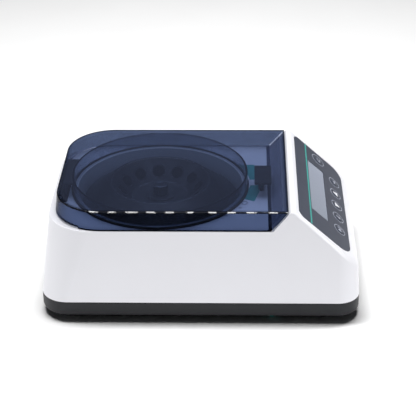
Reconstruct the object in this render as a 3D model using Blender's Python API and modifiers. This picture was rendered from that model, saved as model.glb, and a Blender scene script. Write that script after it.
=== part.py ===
# Mini centrifuge: a bench instrument with a smoked lid, a twelve-place rotor and a sloped keypad.
# Metres, +Z up, +X towards the user's side with the keypad, -X towards the hinge.
# Lengths along X are measured from the rotor axis, which stands rotor_from_rear in front of the rear edge.

import math

import bmesh
import bpy
from mathutils import Matrix, Vector

mm = 0.001

# Clearances
gap = 0.3 * mm                      # between neighbours that touch on the real product
overrun = 2.0 * mm                  # how far a cutter runs past the face that it cuts
bite = 0.3 * mm                     # how far a rib or post runs into the wall that it stands on
merge_distance = 0.001 * mm
sharp_angle = math.radians(32)

# Housing, outside
body_length = 267.0 * mm
body_width = 173.0 * mm
rotor_axis_share = 98 / 267         # rotor axis from the rear edge, as a share of the length
ramp_share = 95.9 / 267             # foot of the ramp that closes the deck off, in front of the rotor axis
foot_height = 5.0 * mm
split_height = 18.7 * mm            # where the white shell meets the dark tray
ridge_height = 99.6 * mm
lid_rise = 17.1 * mm                # from the deck up to the ridge
rear_draft = 8.9 * mm               # how far each wall leans in between the split and the ridge
side_draft = 9.5 * mm
front_draft = 5.0 * mm
rear_corner_low_share = 23 / 173    # plan radius of the rear corners at the split and at the ridge height,
rear_corner_high_share = 42 / 173   # as shares of the width
front_corner_low = 19.0 * mm
front_corner_high = 15.0 * mm
wall = 2.5 * mm
deck_edge_radius = 0.8 * mm
slope_edge_radius = 3.0 * mm
nose_radius = 5.0 * mm

# Ridge and keypad slope
ramp_angle = math.radians(50.5)     # from the horizontal
ridge_flat = 2.0 * mm
ridge_radius = 4.0 * mm
slope_angle = math.radians(42.7)

# Tray
tray_floor = 3.0 * mm
tray_foot_inset = 3.5 * mm
tray_chamfer = 0.8 * mm
tray_side_rise = 3.0 * mm
tray_lip_height = 2.4 * mm
tray_lip_wall = 1.5 * mm
vent_length = 26.0 * mm
vent_width = 3.0 * mm
vent_end_radius = 1.45 * mm
vent_pitch = 8.0 * mm
vent_rows = 5
vent_x = 10.0 * mm

# Feet and case screws
foot_radius = 8.5 * mm
foot_taper = 1.0 * mm
foot_rim = 0.8 * mm
rear_foot_inset = 26.0 * mm         # from the edges of the body to the middle of a foot
front_foot_inset = 30.0 * mm
side_foot_inset = 15.5 * mm
screw_radius = 1.5 * mm
screw_head_radius = 3.0 * mm
screw_head_height = 1.5 * mm
screw_length = 14.0 * mm
screw_sink = 2.0 * mm
cross_width = 0.6 * mm
rear_screw_inset = 19.0 * mm
front_screw_inset = 20.0 * mm
side_screw_share = 50 / 173         # of the width, from the middle
boss_radius = 4.5 * mm
boss_height = 34.0 * mm

# Emergency release plug under the tray
plug_radius = 3.5 * mm
plug_front_inset = 73.0 * mm
plug_side_inset = 9.5 * mm
plug_drop = 3.6 * mm
plug_stem = 2.0 * mm

# Chamber bowl and its seal
chamber_rear_margin = 27.0 * mm     # left outside the chamber, behind it and beside it
chamber_side_margin = 8.0 * mm
chamber_wall = 1.8 * mm
chamber_lip = 1.2 * mm
chamber_lip_height = 1.0 * mm
chamber_taper = 2.0 * mm
chamber_depth = 38.0 * mm
chamber_fillet = 6.0 * mm
chamber_bulge_clearance = 2.0 * mm  # round the motor plate
chamber_bulge_rise = 9.7 * mm
chamber_bulge_slope = 8.0 * mm
chamber_hub_radius = 7.0 * mm
chamber_hub_rise = 3.0 * mm
seal_width = 2.0 * mm
seal_height = 1.6 * mm

# Rotor
rotor_clearance = 4.0 * mm
rotor_rim_drop = 12.5 * mm          # below the deck
rotor_rim_depth = 6.0 * mm
rotor_floor_gap = 3.9 * mm
rotor_foot_taper = 5.5 * mm
rotor_foot_width = 5.9 * mm
rotor_web = 2.2 * mm
hole_ring_share = 32.4 / 67         # shares of the rotor's radius
hole_straight_share = 20 / 67
hole_depth_share = 37 / 67
ridge_land_share = 12.3 / 67        # along the land from the hole centres to the ridge
hole_ring_drop = 2.2 * mm           # below the deck
hole_diameter = 11.0 * mm
hole_count = 12
hole_angle = math.radians(45.0)
hole_tip_radius = 2.6 * mm
hole_phase = math.radians(6.0)
ridge_round = 1.6 * mm
ridge_fall = 0.9 * mm                # drop over the ridge's outer half
bowl_floor_drop = 7.1 * mm          # below the hole centres
bowl_floor_web = 4.6 * mm
hub_radius = 12.0 * mm
hub_rise = 1.8 * mm
hub_edge = 0.6 * mm
hub_foot_radius = 10.5 * mm
hub_foot_drop = 15.2 * mm           # below the bowl floor

# Shaft, knob and motor
shaft_radius = 4.0 * mm
stud_radius = 2.5 * mm
stud_height = 7.0 * mm
knob_radius = 6.5 * mm
knob_height = 9.4 * mm
knob_chamfer = 0.8 * mm
knob_flutes = 10
knob_flute_radius = 0.9 * mm
motor_share = 22 / 71               # shares of the chamber's radius
plate_share = 43 / 71
motor_floor_gap = 3.5 * mm
motor_edge = 1.5 * mm
motor_boss_radius = 9.0 * mm
motor_boss_rise = 0.8 * mm
motor_shaft_seat = 5.0 * mm
plate_drop = 6.2 * mm               # below the chamber's raised floor
plate_thickness = 2.5 * mm
damper_inset = 7.5 * mm             # from the plate's edge to the middle of a damper
damper_radius = 6.0 * mm
damper_height = 9.0 * mm
damper_waist = 1.4 * mm
damper_count = 3
post_taper = 0.6 * mm

# Lid
lid_step = 0.2 * mm                 # from the lid's top up to the ridge
lid_wall = 2.2 * mm
lid_plate = 2.4 * mm
lid_rear_inset = 5.2 * mm           # from the housing's rear wall to the lid's, at the deck
lid_rear_draft = 1.8 * mm
lid_side_inset = 0.15 * mm
lid_corner_share = 40 / 173         # of the width
lid_front_corner = 1.5 * mm
lid_edge = 1.0 * mm
small_edge = 1.0 * mm               # corners of the lock's and the switch's housings
lid_front_gap = 1.1 * mm            # along X, to the ramp
collar_wall = 1.6 * mm
collar_inset = 1.1 * mm             # from the seal's outside to the collar's
rear_relief = 1.2 * mm

# Hinge
hinge_axis_rise = 4.1 * mm          # from the deck
hinge_share = 29.5 / 79             # of the deck's half width
knuckle_radius = 2.6 * mm
pin_radius = 1.3 * mm
outer_ear = 7.0 * mm
centre_ear = 8.0 * mm
hinge_block_front = 5.4 * mm        # the insert's reach in front of the axis
hinge_block_depth = 8.0 * mm
hinge_pocket_floor = 2.0 * mm
hinge_pocket_wall = 1.0 * mm
leaf_thickness = 2.6 * mm
leaf_web = 3.0 * mm
leaf_flange_thickness = 2.0 * mm

# Latch and lock
hook_ramp_gap = 11.4 * mm           # from the hook's rear face to the foot of the ramp
hook_thickness = 2.6 * mm
hook_width = 14.0 * mm
hook_drop = 14.5 * mm               # below the deck
hook_window_width = 7.6 * mm
hook_window_height = 6.2 * mm
hook_window_foot = 3.5 * mm
hook_flange_length = 14.3 * mm
hook_flange_rear = 3.5 * mm
hook_flange_width = 32.0 * mm
hook_flange_shift = 5.0 * mm        # of its middle, towards the side with the plug
hook_flange_thickness = 1.7 * mm
slot_clearance = 2.2 * mm
bolt_width = 5.4 * mm
bolt_height = 4.4 * mm
bolt_length = 18.0 * mm
bolt_tip = 1.6 * mm
lock_lap = 3.0 * mm                 # how far the lock reaches back under the deck
lock_length = 19.0 * mm
lock_width = 20.0 * mm
lock_depth = 13.5 * mm

# Keypad slope: s runs down the slope from the overlay's top edge
overlay_drop = 3.2 * mm             # from the ridge to the overlay's top edge
overlay_share = 1.0                 # length down the slope, as a share of the slope's run in plan
overlay_side_margin = 13.5 * mm
overlay_top_corner = 6.0 * mm
overlay_foot_corner = 13.0 * mm
overlay_thickness = 0.6 * mm
window_share = 25.4 / 59            # shares of the overlay's length
window_height_share = 19.4 / 59
window_width = 88.0 * mm
window_thickness = 1.2 * mm
window_sink = 0.3 * mm
window_corner = 1.0 * mm
module_depth = 5.5 * mm
key_radius = 4.2 * mm
key_proud = 0.25 * mm
key_length = 6.2 * mm
key_edge = 0.3 * mm
key_travel = 0.5 * mm
key_row_share = 48.4 / 59
key_pitch = 21.0 * mm
key_count = 5
side_key_share = 0.5
side_key_inset = 12.0 * mm
board_inset = 4.0 * mm
board_length_share = 50 / 59
board_middle_share = 30 / 59
board_thickness = 1.6 * mm
switch_size = 6.0 * mm
standoff_radius = 2.6 * mm
standoff_s_inset = 3.6 * mm
standoff_y_inset = 5.0 * mm

# Rear wall: power jack and rocker switch
rear_feature_height = 47.0 * mm
rear_recess = 1.4 * mm              # the fittings sit this deep, so that their flanges end flush
rear_feature_share = 30 / 173       # of the width, to either side of the middle
jack_radius = 5.6 * mm
jack_flange_radius = 7.5 * mm
jack_flange = 1.2 * mm
jack_depth = 13.0 * mm
jack_bore_radius = 3.2 * mm
jack_bore_depth = 9.0 * mm
jack_pin_radius = 1.05 * mm
switch_width = 21.0 * mm
switch_height = 15.0 * mm
switch_flange = 1.2 * mm
switch_depth = 15.0 * mm
switch_rim = 1.6 * mm
switch_lip = 1.2 * mm
rocker_rise = 1.2 * mm
rocker_valley = 0.4 * mm
rocker_angle = 16.0
rocker_wall = 2.2 * mm
rocker_depth = 5.0 * mm

# Power board on the tray
power_board_gap = 2.0 * mm          # in front of the chamber
power_board_front_inset = 34.0 * mm
power_board_side_inset = 40.5 * mm
power_board_rise = 4.0 * mm
power_post_radius = 3.0 * mm
power_post_inset = 5.0 * mm
capacitor_radius = 5.0 * mm
capacitor_height = 14.0 * mm
capacitor_y = 12.0 * mm
connector_size = 8.0 * mm
connector_inset = 4.0 * mm

# Facets
round_segments = 48
small_segments = 14
arc_segments = 6
fillet_steps = 3
ridge_steps = 4
key_segments = 20
shaft_segments = 24
knob_segments = 30
flute_segments = 6
plate_segments = 32
post_segments = 12
edge_segments = 2
settle_rounds = 8                   # repeats that place a leaning wall's top edge

# Places worked out from the sizes above
rotor_from_rear = body_length * rotor_axis_share
rotor_x = rotor_from_rear - body_length / 2
front_from_rotor = body_length - rotor_from_rear
half_width = body_width / 2
rear_corner_low = body_width * rear_corner_low_share
rear_corner_high = body_width * rear_corner_high_share
lid_corner = body_width * lid_corner_share
deck_height = ridge_height - lid_rise
ramp_foot = body_length * ramp_share
ramp_run = 1 / math.tan(ramp_angle)
ramp_across = 1 / math.sin(ramp_angle)
ridge_rear = ramp_foot + lid_rise * ramp_run
deck_half_width = half_width - side_draft * (deck_height - split_height) / (ridge_height - split_height)
rear_foot_x = rotor_from_rear - rear_foot_inset
front_foot_x = front_from_rotor - front_foot_inset
foot_y = half_width - side_foot_inset
screw_x_rear = rotor_from_rear - rear_screw_inset
screw_x_front = front_from_rotor - front_screw_inset
screw_y = body_width * side_screw_share
plug_x = front_from_rotor - plug_front_inset
plug_y = half_width - plug_side_inset
deck_drop = wall / math.cos(slope_angle)
deck_underside = deck_height - deck_drop
lid_foot_height = deck_height + gap
tray_top = split_height - gap
tray_floor_top = foot_height + tray_floor
chamber_radius = min(rotor_from_rear - chamber_rear_margin, deck_half_width - chamber_side_margin)
chamber_floor = deck_height - chamber_depth
chamber_bulge_height = chamber_floor + chamber_bulge_rise
plate_radius = chamber_radius * plate_share
plate_height = chamber_bulge_height - plate_drop
damper_ring = plate_radius - damper_inset
motor_radius = chamber_radius * motor_share
motor_bottom = tray_floor_top + motor_floor_gap
chamber_bulge_radius = plate_radius + chamber_bulge_clearance
rotor_radius = chamber_radius - rotor_clearance
rotor_rim_height = deck_height - rotor_rim_drop
rotor_bottom = chamber_floor + rotor_floor_gap
rotor_foot_outer = rotor_radius - rotor_foot_taper
rotor_foot_inner = rotor_foot_outer - rotor_foot_width
hole_ring_radius = rotor_radius * hole_ring_share
hole_ring_height = deck_height - hole_ring_drop
hole_straight = rotor_radius * hole_straight_share
hole_depth = rotor_radius * hole_depth_share
ridge_land = rotor_radius * ridge_land_share
bowl_floor_height = hole_ring_height - bowl_floor_drop
hub_foot_height = bowl_floor_height - hub_foot_drop
chamber_outer = chamber_radius + chamber_wall
lip_outer = chamber_outer + chamber_lip
lip_bottom = deck_height + gap
lip_top = lip_bottom + chamber_lip_height
seal_inner = lip_outer + gap
seal_outer = seal_inner + seal_width
collar_outer = seal_outer - collar_inset
collar_inner = collar_outer - collar_wall
collar_bottom = lip_bottom + seal_height + gap
lid_top_height = ridge_height - lid_step
plate_underside = lid_top_height - lid_plate
hinge_half_width = deck_half_width * hinge_share
hook_x = ramp_foot - hook_ramp_gap
hook_bottom = deck_height - hook_drop
lock_x = ramp_foot - lock_lap
overlay_length = (front_from_rotor - ridge_rear) * overlay_share
overlay_width = body_width - 2 * overlay_side_margin
window_s = overlay_length * window_share
window_height = overlay_length * window_height_share
key_row_s = overlay_length * key_row_share
side_key_s = overlay_length * side_key_share
side_key_y = overlay_width / 2 - side_key_inset
board_length = overlay_length * board_length_share
board_s = overlay_length * board_middle_share
board_width = overlay_width - 2 * board_inset
jack_y = body_width * rear_feature_share
switch_y = -jack_y
power_board_rear = chamber_radius + power_board_gap
power_board_length = front_from_rotor - power_board_front_inset - power_board_rear
power_board_x = power_board_rear + power_board_length / 2
power_board_width = body_width - 2 * power_board_side_inset
damper_bottom = plate_height - gap - damper_height
hub_top = bowl_floor_height + hub_rise
knob_bottom = hub_top + gap
slope_tangent = math.tan(slope_angle)


def share(low, high, part):
    return low + (high - low) * part


def clear_scene():
    for item in list(bpy.data.objects):
        bpy.data.objects.remove(item, do_unlink=True)


def new_collection(name):
    group = bpy.data.collections.new(name)
    bpy.context.scene.collection.children.link(group)
    return group


def plastic(name, colour, roughness, metallic=0.0, alpha=1.0):
    material = bpy.data.materials.new(name)
    material.use_nodes = True
    shader = material.node_tree.nodes["Principled BSDF"]
    shader.inputs["Base Color"].default_value = (*colour, 1.0)
    shader.inputs["Roughness"].default_value = roughness
    shader.inputs["Metallic"].default_value = metallic
    shader.inputs["Alpha"].default_value = alpha
    material.diffuse_color = (*colour, alpha)
    return material


clear_scene()
parts = new_collection("mini_centrifuge")
cutters = new_collection("cutters")
axis_frame = bpy.data.objects.new("rotor_axis", None)
axis_frame.location = (rotor_x, 0, 0)
axis_frame.empty_display_size = hole_ring_radius
parts.objects.link(axis_frame)


# Basic solids. Each is made in the frame of the rotor axis, or in the frame given.

def place(name, mesh, material=None, cutter=False, frame=None):
    item = bpy.data.objects.new(name, mesh)
    (cutters if cutter else parts).objects.link(item)
    item.parent = axis_frame
    if frame is not None:
        item.matrix_local = frame
    if cutter:
        item.hide_render = True
        item.display_type = "WIRE"
    elif material is not None:
        mesh.materials.append(material)
    return item


def from_bmesh(name, shape, material=None, cutter=False, frame=None, smooth=True):
    mesh = bpy.data.meshes.new(name)
    shape.to_mesh(mesh)
    shape.free()
    if smooth:
        mesh.shade_smooth()
        mesh.set_sharp_from_angle(angle=sharp_angle)
    return place(name, mesh, material, cutter, frame)


def box(name, low, high, material=None, cutter=False, frame=None, edge=0.0, edge_axis=None):
    shape = bmesh.new()
    bmesh.ops.create_cube(shape, size=1.0)
    size = Vector(high) - Vector(low)
    centre = (Vector(high) + Vector(low)) / 2
    bmesh.ops.transform(shape, matrix=Matrix.Translation(centre) @ Matrix.Diagonal((*size, 1.0)),
                        verts=shape.verts)
    if edge > 0:
        chosen = [line for line in shape.edges if edge_axis is None or runs_along(line, edge_axis)]
        bmesh.ops.bevel(shape, geom=chosen, offset=edge, segments=edge_segments, profile=0.5, affect="EDGES")
    return from_bmesh(name, shape, material, cutter, frame)


def runs_along(line, axis):
    direction = (line.verts[1].co - line.verts[0].co).normalized()
    return abs(direction[axis]) > 0.99


def cylinder(name, radius, low, high, material=None, cutter=False, frame=None, centre=(0, 0),
             top_radius=None, segments=small_segments):
    shape = bmesh.new()
    bmesh.ops.create_cone(shape, cap_ends=True, segments=segments, radius1=radius,
                          radius2=radius if top_radius is None else top_radius, depth=high - low,
                          matrix=Matrix.Translation((centre[0], centre[1], (high + low) / 2)))
    return from_bmesh(name, shape, material, cutter, frame)


def turned(name, profile, material=None, cutter=False, frame=None, segments=round_segments, closed=False):
    # The profile is (radius, height) pairs that run down the outer side, top to bottom.
    mesh = bpy.data.meshes.new(name)
    points = [(radius, 0, height) for radius, height in profile]
    edges = [(i, i + 1) for i in range(len(points) - 1)]
    if closed:
        edges.append((len(points) - 1, 0))
    mesh.from_pydata(points, edges, [])
    item = place(name, mesh, material, cutter, frame)
    spin = item.modifiers.new("Screw", "SCREW")
    spin.angle = 2 * math.pi
    spin.steps = segments
    spin.render_steps = segments
    spin.use_merge_vertices = True
    spin.merge_threshold = merge_distance
    spin.use_smooth_shade = True
    return item


def rounded_plan(low, high, corner_low, corner_high, steps=5):
    # A rectangle in plan with one radius at its low X end and one at its high X end, anticlockwise.
    corners = [(high[0], high[1], corner_high, 0.0), (low[0], high[1], corner_low, 0.5),
               (low[0], low[1], corner_low, 1.0), (high[0], low[1], corner_high, 1.5)]
    points = []
    for x, y, radius, turn in corners:
        inward_x = -1 if x == high[0] else 1
        inward_y = -1 if y == high[1] else 1
        for step in range(steps + 1):
            angle = math.pi * (turn + 0.5 * step / steps)
            points.append((x + inward_x * radius + radius * math.cos(angle),
                           y + inward_y * radius + radius * math.sin(angle)))
    return points


def prism(name, plan, low, high, material=None, cutter=False, frame=None):
    curve = bpy.data.curves.new(name + "_plan", "CURVE")
    curve.dimensions = "2D"
    curve.fill_mode = "BOTH"
    curve.extrude = (high - low) / 2
    line = curve.splines.new("POLY")
    line.points.add(len(plan) - 1)
    for point, (x, y) in zip(line.points, plan):
        point.co = (x, y, 0, 1)
    line.use_cyclic_u = True
    drawn = bpy.data.objects.new(name + "_plan", curve)
    parts.objects.link(drawn)
    seen = drawn.evaluated_get(bpy.context.evaluated_depsgraph_get())
    mesh = bpy.data.meshes.new_from_object(seen)
    bpy.data.objects.remove(drawn, do_unlink=True)
    shape = bmesh.new()
    shape.from_mesh(mesh)
    bpy.data.meshes.remove(mesh)
    bmesh.ops.remove_doubles(shape, verts=shape.verts, dist=merge_distance)
    bmesh.ops.translate(shape, verts=shape.verts, vec=(0, 0, (low + high) / 2))
    bmesh.ops.recalc_face_normals(shape, faces=shape.faces)
    return from_bmesh(name, shape, material, cutter, frame)


def change(item, other, operation):
    step = item.modifiers.new(other.name, "BOOLEAN")
    step.operation = operation
    step.solver = "EXACT"
    step.object = other


def cut(item, *tools):
    for tool in tools:
        change(item, tool, "DIFFERENCE")


def join(item, *tools):
    for tool in tools:
        change(item, tool, "UNION")


def origin_at(item, point):
    # The mesh stays where it is, and the object's own origin moves to the point.
    item.data.transform(Matrix.Translation(-Vector(point)))
    item.location = Vector(point)


# Housing outline. A wall leans in from the split to the ridge height, and the corner radii change with it.

class Shell:
    def __init__(self, rear, front, half, corners_rear, corners_front, drafts, low, high, stations):
        self.rear, self.front, self.half = rear, front, half
        self.corners_rear, self.corners_front = corners_rear, corners_front
        self.draft_rear, self.draft_side, self.draft_front = drafts
        self.low, self.high = low, high
        self.stations = stations

    def count(self):
        return 2 * (arc_segments + 1) + len(self.stations)

    def point(self, index, height, inset):
        # Point of the +Y half of the outline, from the rear to the front.
        lean = (height - self.low) / (self.high - self.low)
        rear = self.rear + self.draft_rear * lean + inset
        front = self.front - self.draft_front * lean - inset
        half = self.half - self.draft_side * lean - inset
        corner = share(*self.corners_rear, lean) - inset
        if index <= arc_segments:
            angle = math.pi * (1 - 0.5 * index / arc_segments)
            return rear + corner + corner * math.cos(angle), half - corner + corner * math.sin(angle)
        index -= arc_segments + 1
        if index < len(self.stations):
            return self.stations[index], half
        index -= len(self.stations)
        corner = max(share(*self.corners_front, lean) - inset, gap)
        angle = math.pi * 0.5 * (1 - index / arc_segments)
        return front - corner + corner * math.cos(angle), half - corner + corner * math.sin(angle)


def height_on(profile, x):
    for (x0, z0), (x1, z1) in zip(profile, profile[1:]):
        if x <= x1:
            return share(z0, z1, (x - x0) / (x1 - x0)) if x > x0 else z0
    return profile[-1][1]


def ring_heights(shell, profile, inset, below):
    # The wall leans, so the place where it meets the top profile is found by a few repeats.
    found = []
    for index in range(shell.count()):
        height = profile[0][1]
        for repeat in range(settle_rounds):
            x, y = shell.point(index, height, inset(index))
            height = height_on(profile, x) - below(index)
        found.append((x, y, height))
    return found


def shell_solid(name, shell, bottom, profile, radius_at, material=None, cutter=False, fillet_steps=4):
    # Closed solid: floor, leaning wall, rounded top edge and a top that follows the profile across Y.
    count = shell.count()
    rings = [[(*shell.point(index, bottom, 0.0), bottom) for index in range(count)]]
    middles = [shell.point(index, shell.high, 0.0)[0] for index in range(count)]
    radii = [radius_at(x) for x in middles]
    for step in range(fillet_steps + 1):
        turn = math.pi / 2 * step / fillet_steps
        rings.append(ring_heights(shell, profile,
                                  lambda index: radii[index] * (1 - math.cos(turn)),
                                  lambda index: radii[index] * (1 - math.sin(turn))))
    shape = bmesh.new()
    upper = [[shape.verts.new(point) for point in ring] for ring in rings]
    lower = [[shape.verts.new((x, -y, z)) for x, y, z in ring] for ring in rings]
    for row in range(len(rings) - 1):
        for index in range(count - 1):
            shape.faces.new((upper[row][index], upper[row + 1][index],
                             upper[row + 1][index + 1], upper[row][index + 1]))
            shape.faces.new((lower[row][index], lower[row][index + 1],
                             lower[row + 1][index + 1], lower[row + 1][index]))
        shape.faces.new((lower[row][0], lower[row + 1][0], upper[row + 1][0], upper[row][0]))
        shape.faces.new((upper[row][-1], upper[row + 1][-1], lower[row + 1][-1], lower[row][-1]))
    for index in range(count - 1):
        shape.faces.new((upper[-1][index], lower[-1][index], lower[-1][index + 1], upper[-1][index + 1]))
    shape.faces.new(upper[0] + lower[0][::-1])
    bmesh.ops.recalc_face_normals(shape, faces=shape.faces)
    return from_bmesh(name, shape, material, cutter)


def housing_profile(drop):
    # Side view of the top: deck, ramp, ridge, rounded edge and keypad slope.
    edge_x = ridge_rear + ridge_flat
    points = [(-rotor_from_rear, deck_height - drop), (ramp_foot, deck_height - drop),
              (ridge_rear, ridge_height - drop)]
    for step in range(ridge_steps + 1):
        angle = slope_angle * step / ridge_steps
        points.append((edge_x + ridge_radius * math.sin(angle),
                       ridge_height - drop - ridge_radius * (1 - math.cos(angle))))
    last_x, last_z = points[-1]
    points.append((front_from_rotor, last_z - (front_from_rotor - last_x) * slope_tangent))
    return points


def housing_shell(inset):
    profile = housing_profile(0)
    middle = [0.0, share(0.0, profile[1][0], 0.5)]
    last = share(profile[-2][0], front_from_rotor - front_corner_low, 0.5)
    stations = middle + [x for x, z in profile[1:-1]] + [last]
    return Shell(-rotor_from_rear + inset, front_from_rotor - inset, half_width - inset,
                 (rear_corner_low - inset, rear_corner_high - inset),
                 (front_corner_low - inset, front_corner_high - inset),
                 (rear_draft, side_draft, front_draft), split_height, ridge_height, stations)


def housing_edge_radius(x):
    if x < ridge_rear:
        return deck_edge_radius
    past_ridge = min(1.0, (x - ridge_rear) / ridge_radius)
    near_nose = max(0.0, 1 - (front_from_rotor - front_draft - x) / front_corner_low)
    return share(share(deck_edge_radius, slope_edge_radius, past_ridge), nose_radius, near_nose)


outer_shell = housing_shell(0.0)


def wall_at(height):
    # Rear, front and half width of the housing's outside at a height.
    lean = (height - split_height) / (ridge_height - split_height)
    return (-rotor_from_rear + rear_draft * lean, front_from_rotor - front_draft * lean,
            half_width - side_draft * lean)


def wall_lean(rise):
    # How far the housing's wall comes in over a rise, at its fastest corner.
    corner = (rear_corner_high - rear_corner_low) * (math.sqrt(2) - 1)
    return (max(rear_draft, side_draft) + corner) * rise / (ridge_height - split_height)


def overlay_edge():
    # The overlay's top edge lies on the keypad slope, overlay_drop below the ridge.
    profile = housing_profile(0)
    x, z = profile[-2]
    height = ridge_height - overlay_drop
    return x + (z - height) / slope_tangent, height


def slope_frame():
    # Local X runs down the slope, local Y is across, local Z points out of it.
    x, z = overlay_edge()
    along = Vector((math.cos(slope_angle), 0, -math.sin(slope_angle)))
    across = Vector((0, 1, 0))
    out = along.cross(across)
    frame = Matrix((along, across, out)).transposed().to_4x4()
    frame.translation = (x, 0, z)
    return frame


def rear_frame(y):
    # Local Z points out of the leaning rear wall, local Y up it, local X across, from the recess's floor.
    lean = math.atan2(rear_draft, ridge_height - split_height)
    out = Vector((-math.cos(lean), 0, math.sin(lean)))
    up = Vector((math.sin(lean), 0, math.cos(lean)))
    across = up.cross(out)
    frame = Matrix((across, up, out)).transposed().to_4x4()
    frame.translation = Vector((wall_at(rear_feature_height)[0], y, rear_feature_height)) - out * rear_recess
    return frame


def key_places():
    row = [(key_row_s, key_pitch * (i - (key_count - 1) / 2)) for i in range(key_count)]
    return row + [(side_key_s, side_key_y)]


def screw_places():
    return [(-screw_x_rear, -screw_y), (-screw_x_rear, screw_y),
            (screw_x_front, -screw_y), (screw_x_front, screw_y)]


def foot_places():
    return [(-rear_foot_x, -foot_y), (-rear_foot_x, foot_y),
            (front_foot_x, -foot_y), (front_foot_x, foot_y)]


def damper_places():
    return [(damper_ring * math.cos(2 * math.pi * i / damper_count),
             damper_ring * math.sin(2 * math.pi * i / damper_count)) for i in range(damper_count)]


def power_post_places():
    reach_x = power_board_length / 2 - power_post_inset
    reach_y = power_board_width / 2 - power_post_inset
    return [(power_board_x + side_x * reach_x, side_y * reach_y) for side_x in (-1, 1) for side_y in (-1, 1)]


def standoff_places():
    s_reach = board_length / 2 - standoff_s_inset
    y_reach = board_width / 2 - standoff_y_inset
    return [(board_s + side_s * s_reach, side_y * y_reach) for side_s in (-1, 1) for side_y in (-1, 1)]


# Materials, by the look of each piece in the photograph
white_plastic = plastic("white_plastic", (0.80, 0.82, 0.84), 0.35)
dark_plastic = plastic("dark_plastic", (0.035, 0.038, 0.042), 0.5)
black_plastic = plastic("black_plastic", (0.012, 0.012, 0.014), 0.45)
smoked_plastic = plastic("smoked_plastic", (0.05, 0.07, 0.13), 0.05, alpha=0.45)
rotor_plastic = plastic("rotor_plastic", (0.02, 0.022, 0.028), 0.35)
chamber_plastic = plastic("chamber_plastic", (0.30, 0.32, 0.36), 0.4)
black_rubber = plastic("black_rubber", (0.01, 0.01, 0.01), 0.85)
steel = plastic("steel", (0.6, 0.6, 0.62), 0.3, 1.0)
overlay_film = plastic("overlay_film", (0.09, 0.10, 0.13), 0.3)
display_glass = plastic("display_glass", (0.36, 0.41, 0.46), 0.15)
key_film = plastic("key_film", (0.10, 0.11, 0.14), 0.35)
green_board = plastic("green_board", (0.02, 0.16, 0.07), 0.5)
teal_plastic = plastic("teal_plastic", (0.03, 0.30, 0.28), 0.4)


def make_upper_housing():
    profile = housing_profile(0)
    item = shell_solid("upper_housing", outer_shell, split_height, profile, housing_edge_radius,
                       white_plastic)
    inner = housing_shell(wall)
    hollow = shell_solid("housing_hollow", inner, split_height - overrun, housing_profile(deck_drop),
                         lambda x: gap, cutter=True, fillet_steps=1)
    cut(item, hollow)
    boss_bottom = tray_floor_top + gap
    for number, (x, y) in enumerate(screw_places(), 1):
        boss = cylinder(f"boss_{number}", boss_radius, boss_bottom, boss_bottom + boss_height,
                        cutter=True, centre=(x, y))
        ribs = boss_ribs(number, x, y, boss_bottom)
        bore = cylinder(f"boss_bore_{number}", screw_radius + gap, boss_bottom - overrun,
                        foot_height + screw_sink + screw_length + gap, cutter=True, centre=(x, y))
        join(item, boss, ribs)
        cut(item, bore)
    frame = slope_frame()
    inner_face = -wall + bite
    post_foot = board_top()
    for number, (s, y) in enumerate(standoff_places(), 1):
        post = cylinder(f"standoff_{number}", standoff_radius, post_foot + gap, inner_face,
                        cutter=True, frame=frame, centre=(s, y), segments=post_segments)
        join(item, post)
    cut(item, *housing_openings(frame))
    return item


def boss_ribs(number, x, y, bottom):
    # Each screw boss is tied to the end wall behind it by one upright rib.
    rear, front, half = wall_at(bottom + boss_height)
    toward = -1 if x < 0 else 1
    end = (rear if x < 0 else front) - toward * wall / 2
    low_x, high_x = sorted((x, end))
    return box(f"boss_rib_{number}", (low_x, y - wall / 2, split_height + tray_lip_height + gap * 2),
               (high_x, y + wall / 2, bottom + boss_height), cutter=True)


def board_top():
    # Depth of the control board's upper face below the slope, as a negative height in the slope frame.
    return -(window_sink + window_thickness + gap + module_depth + gap)


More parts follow.
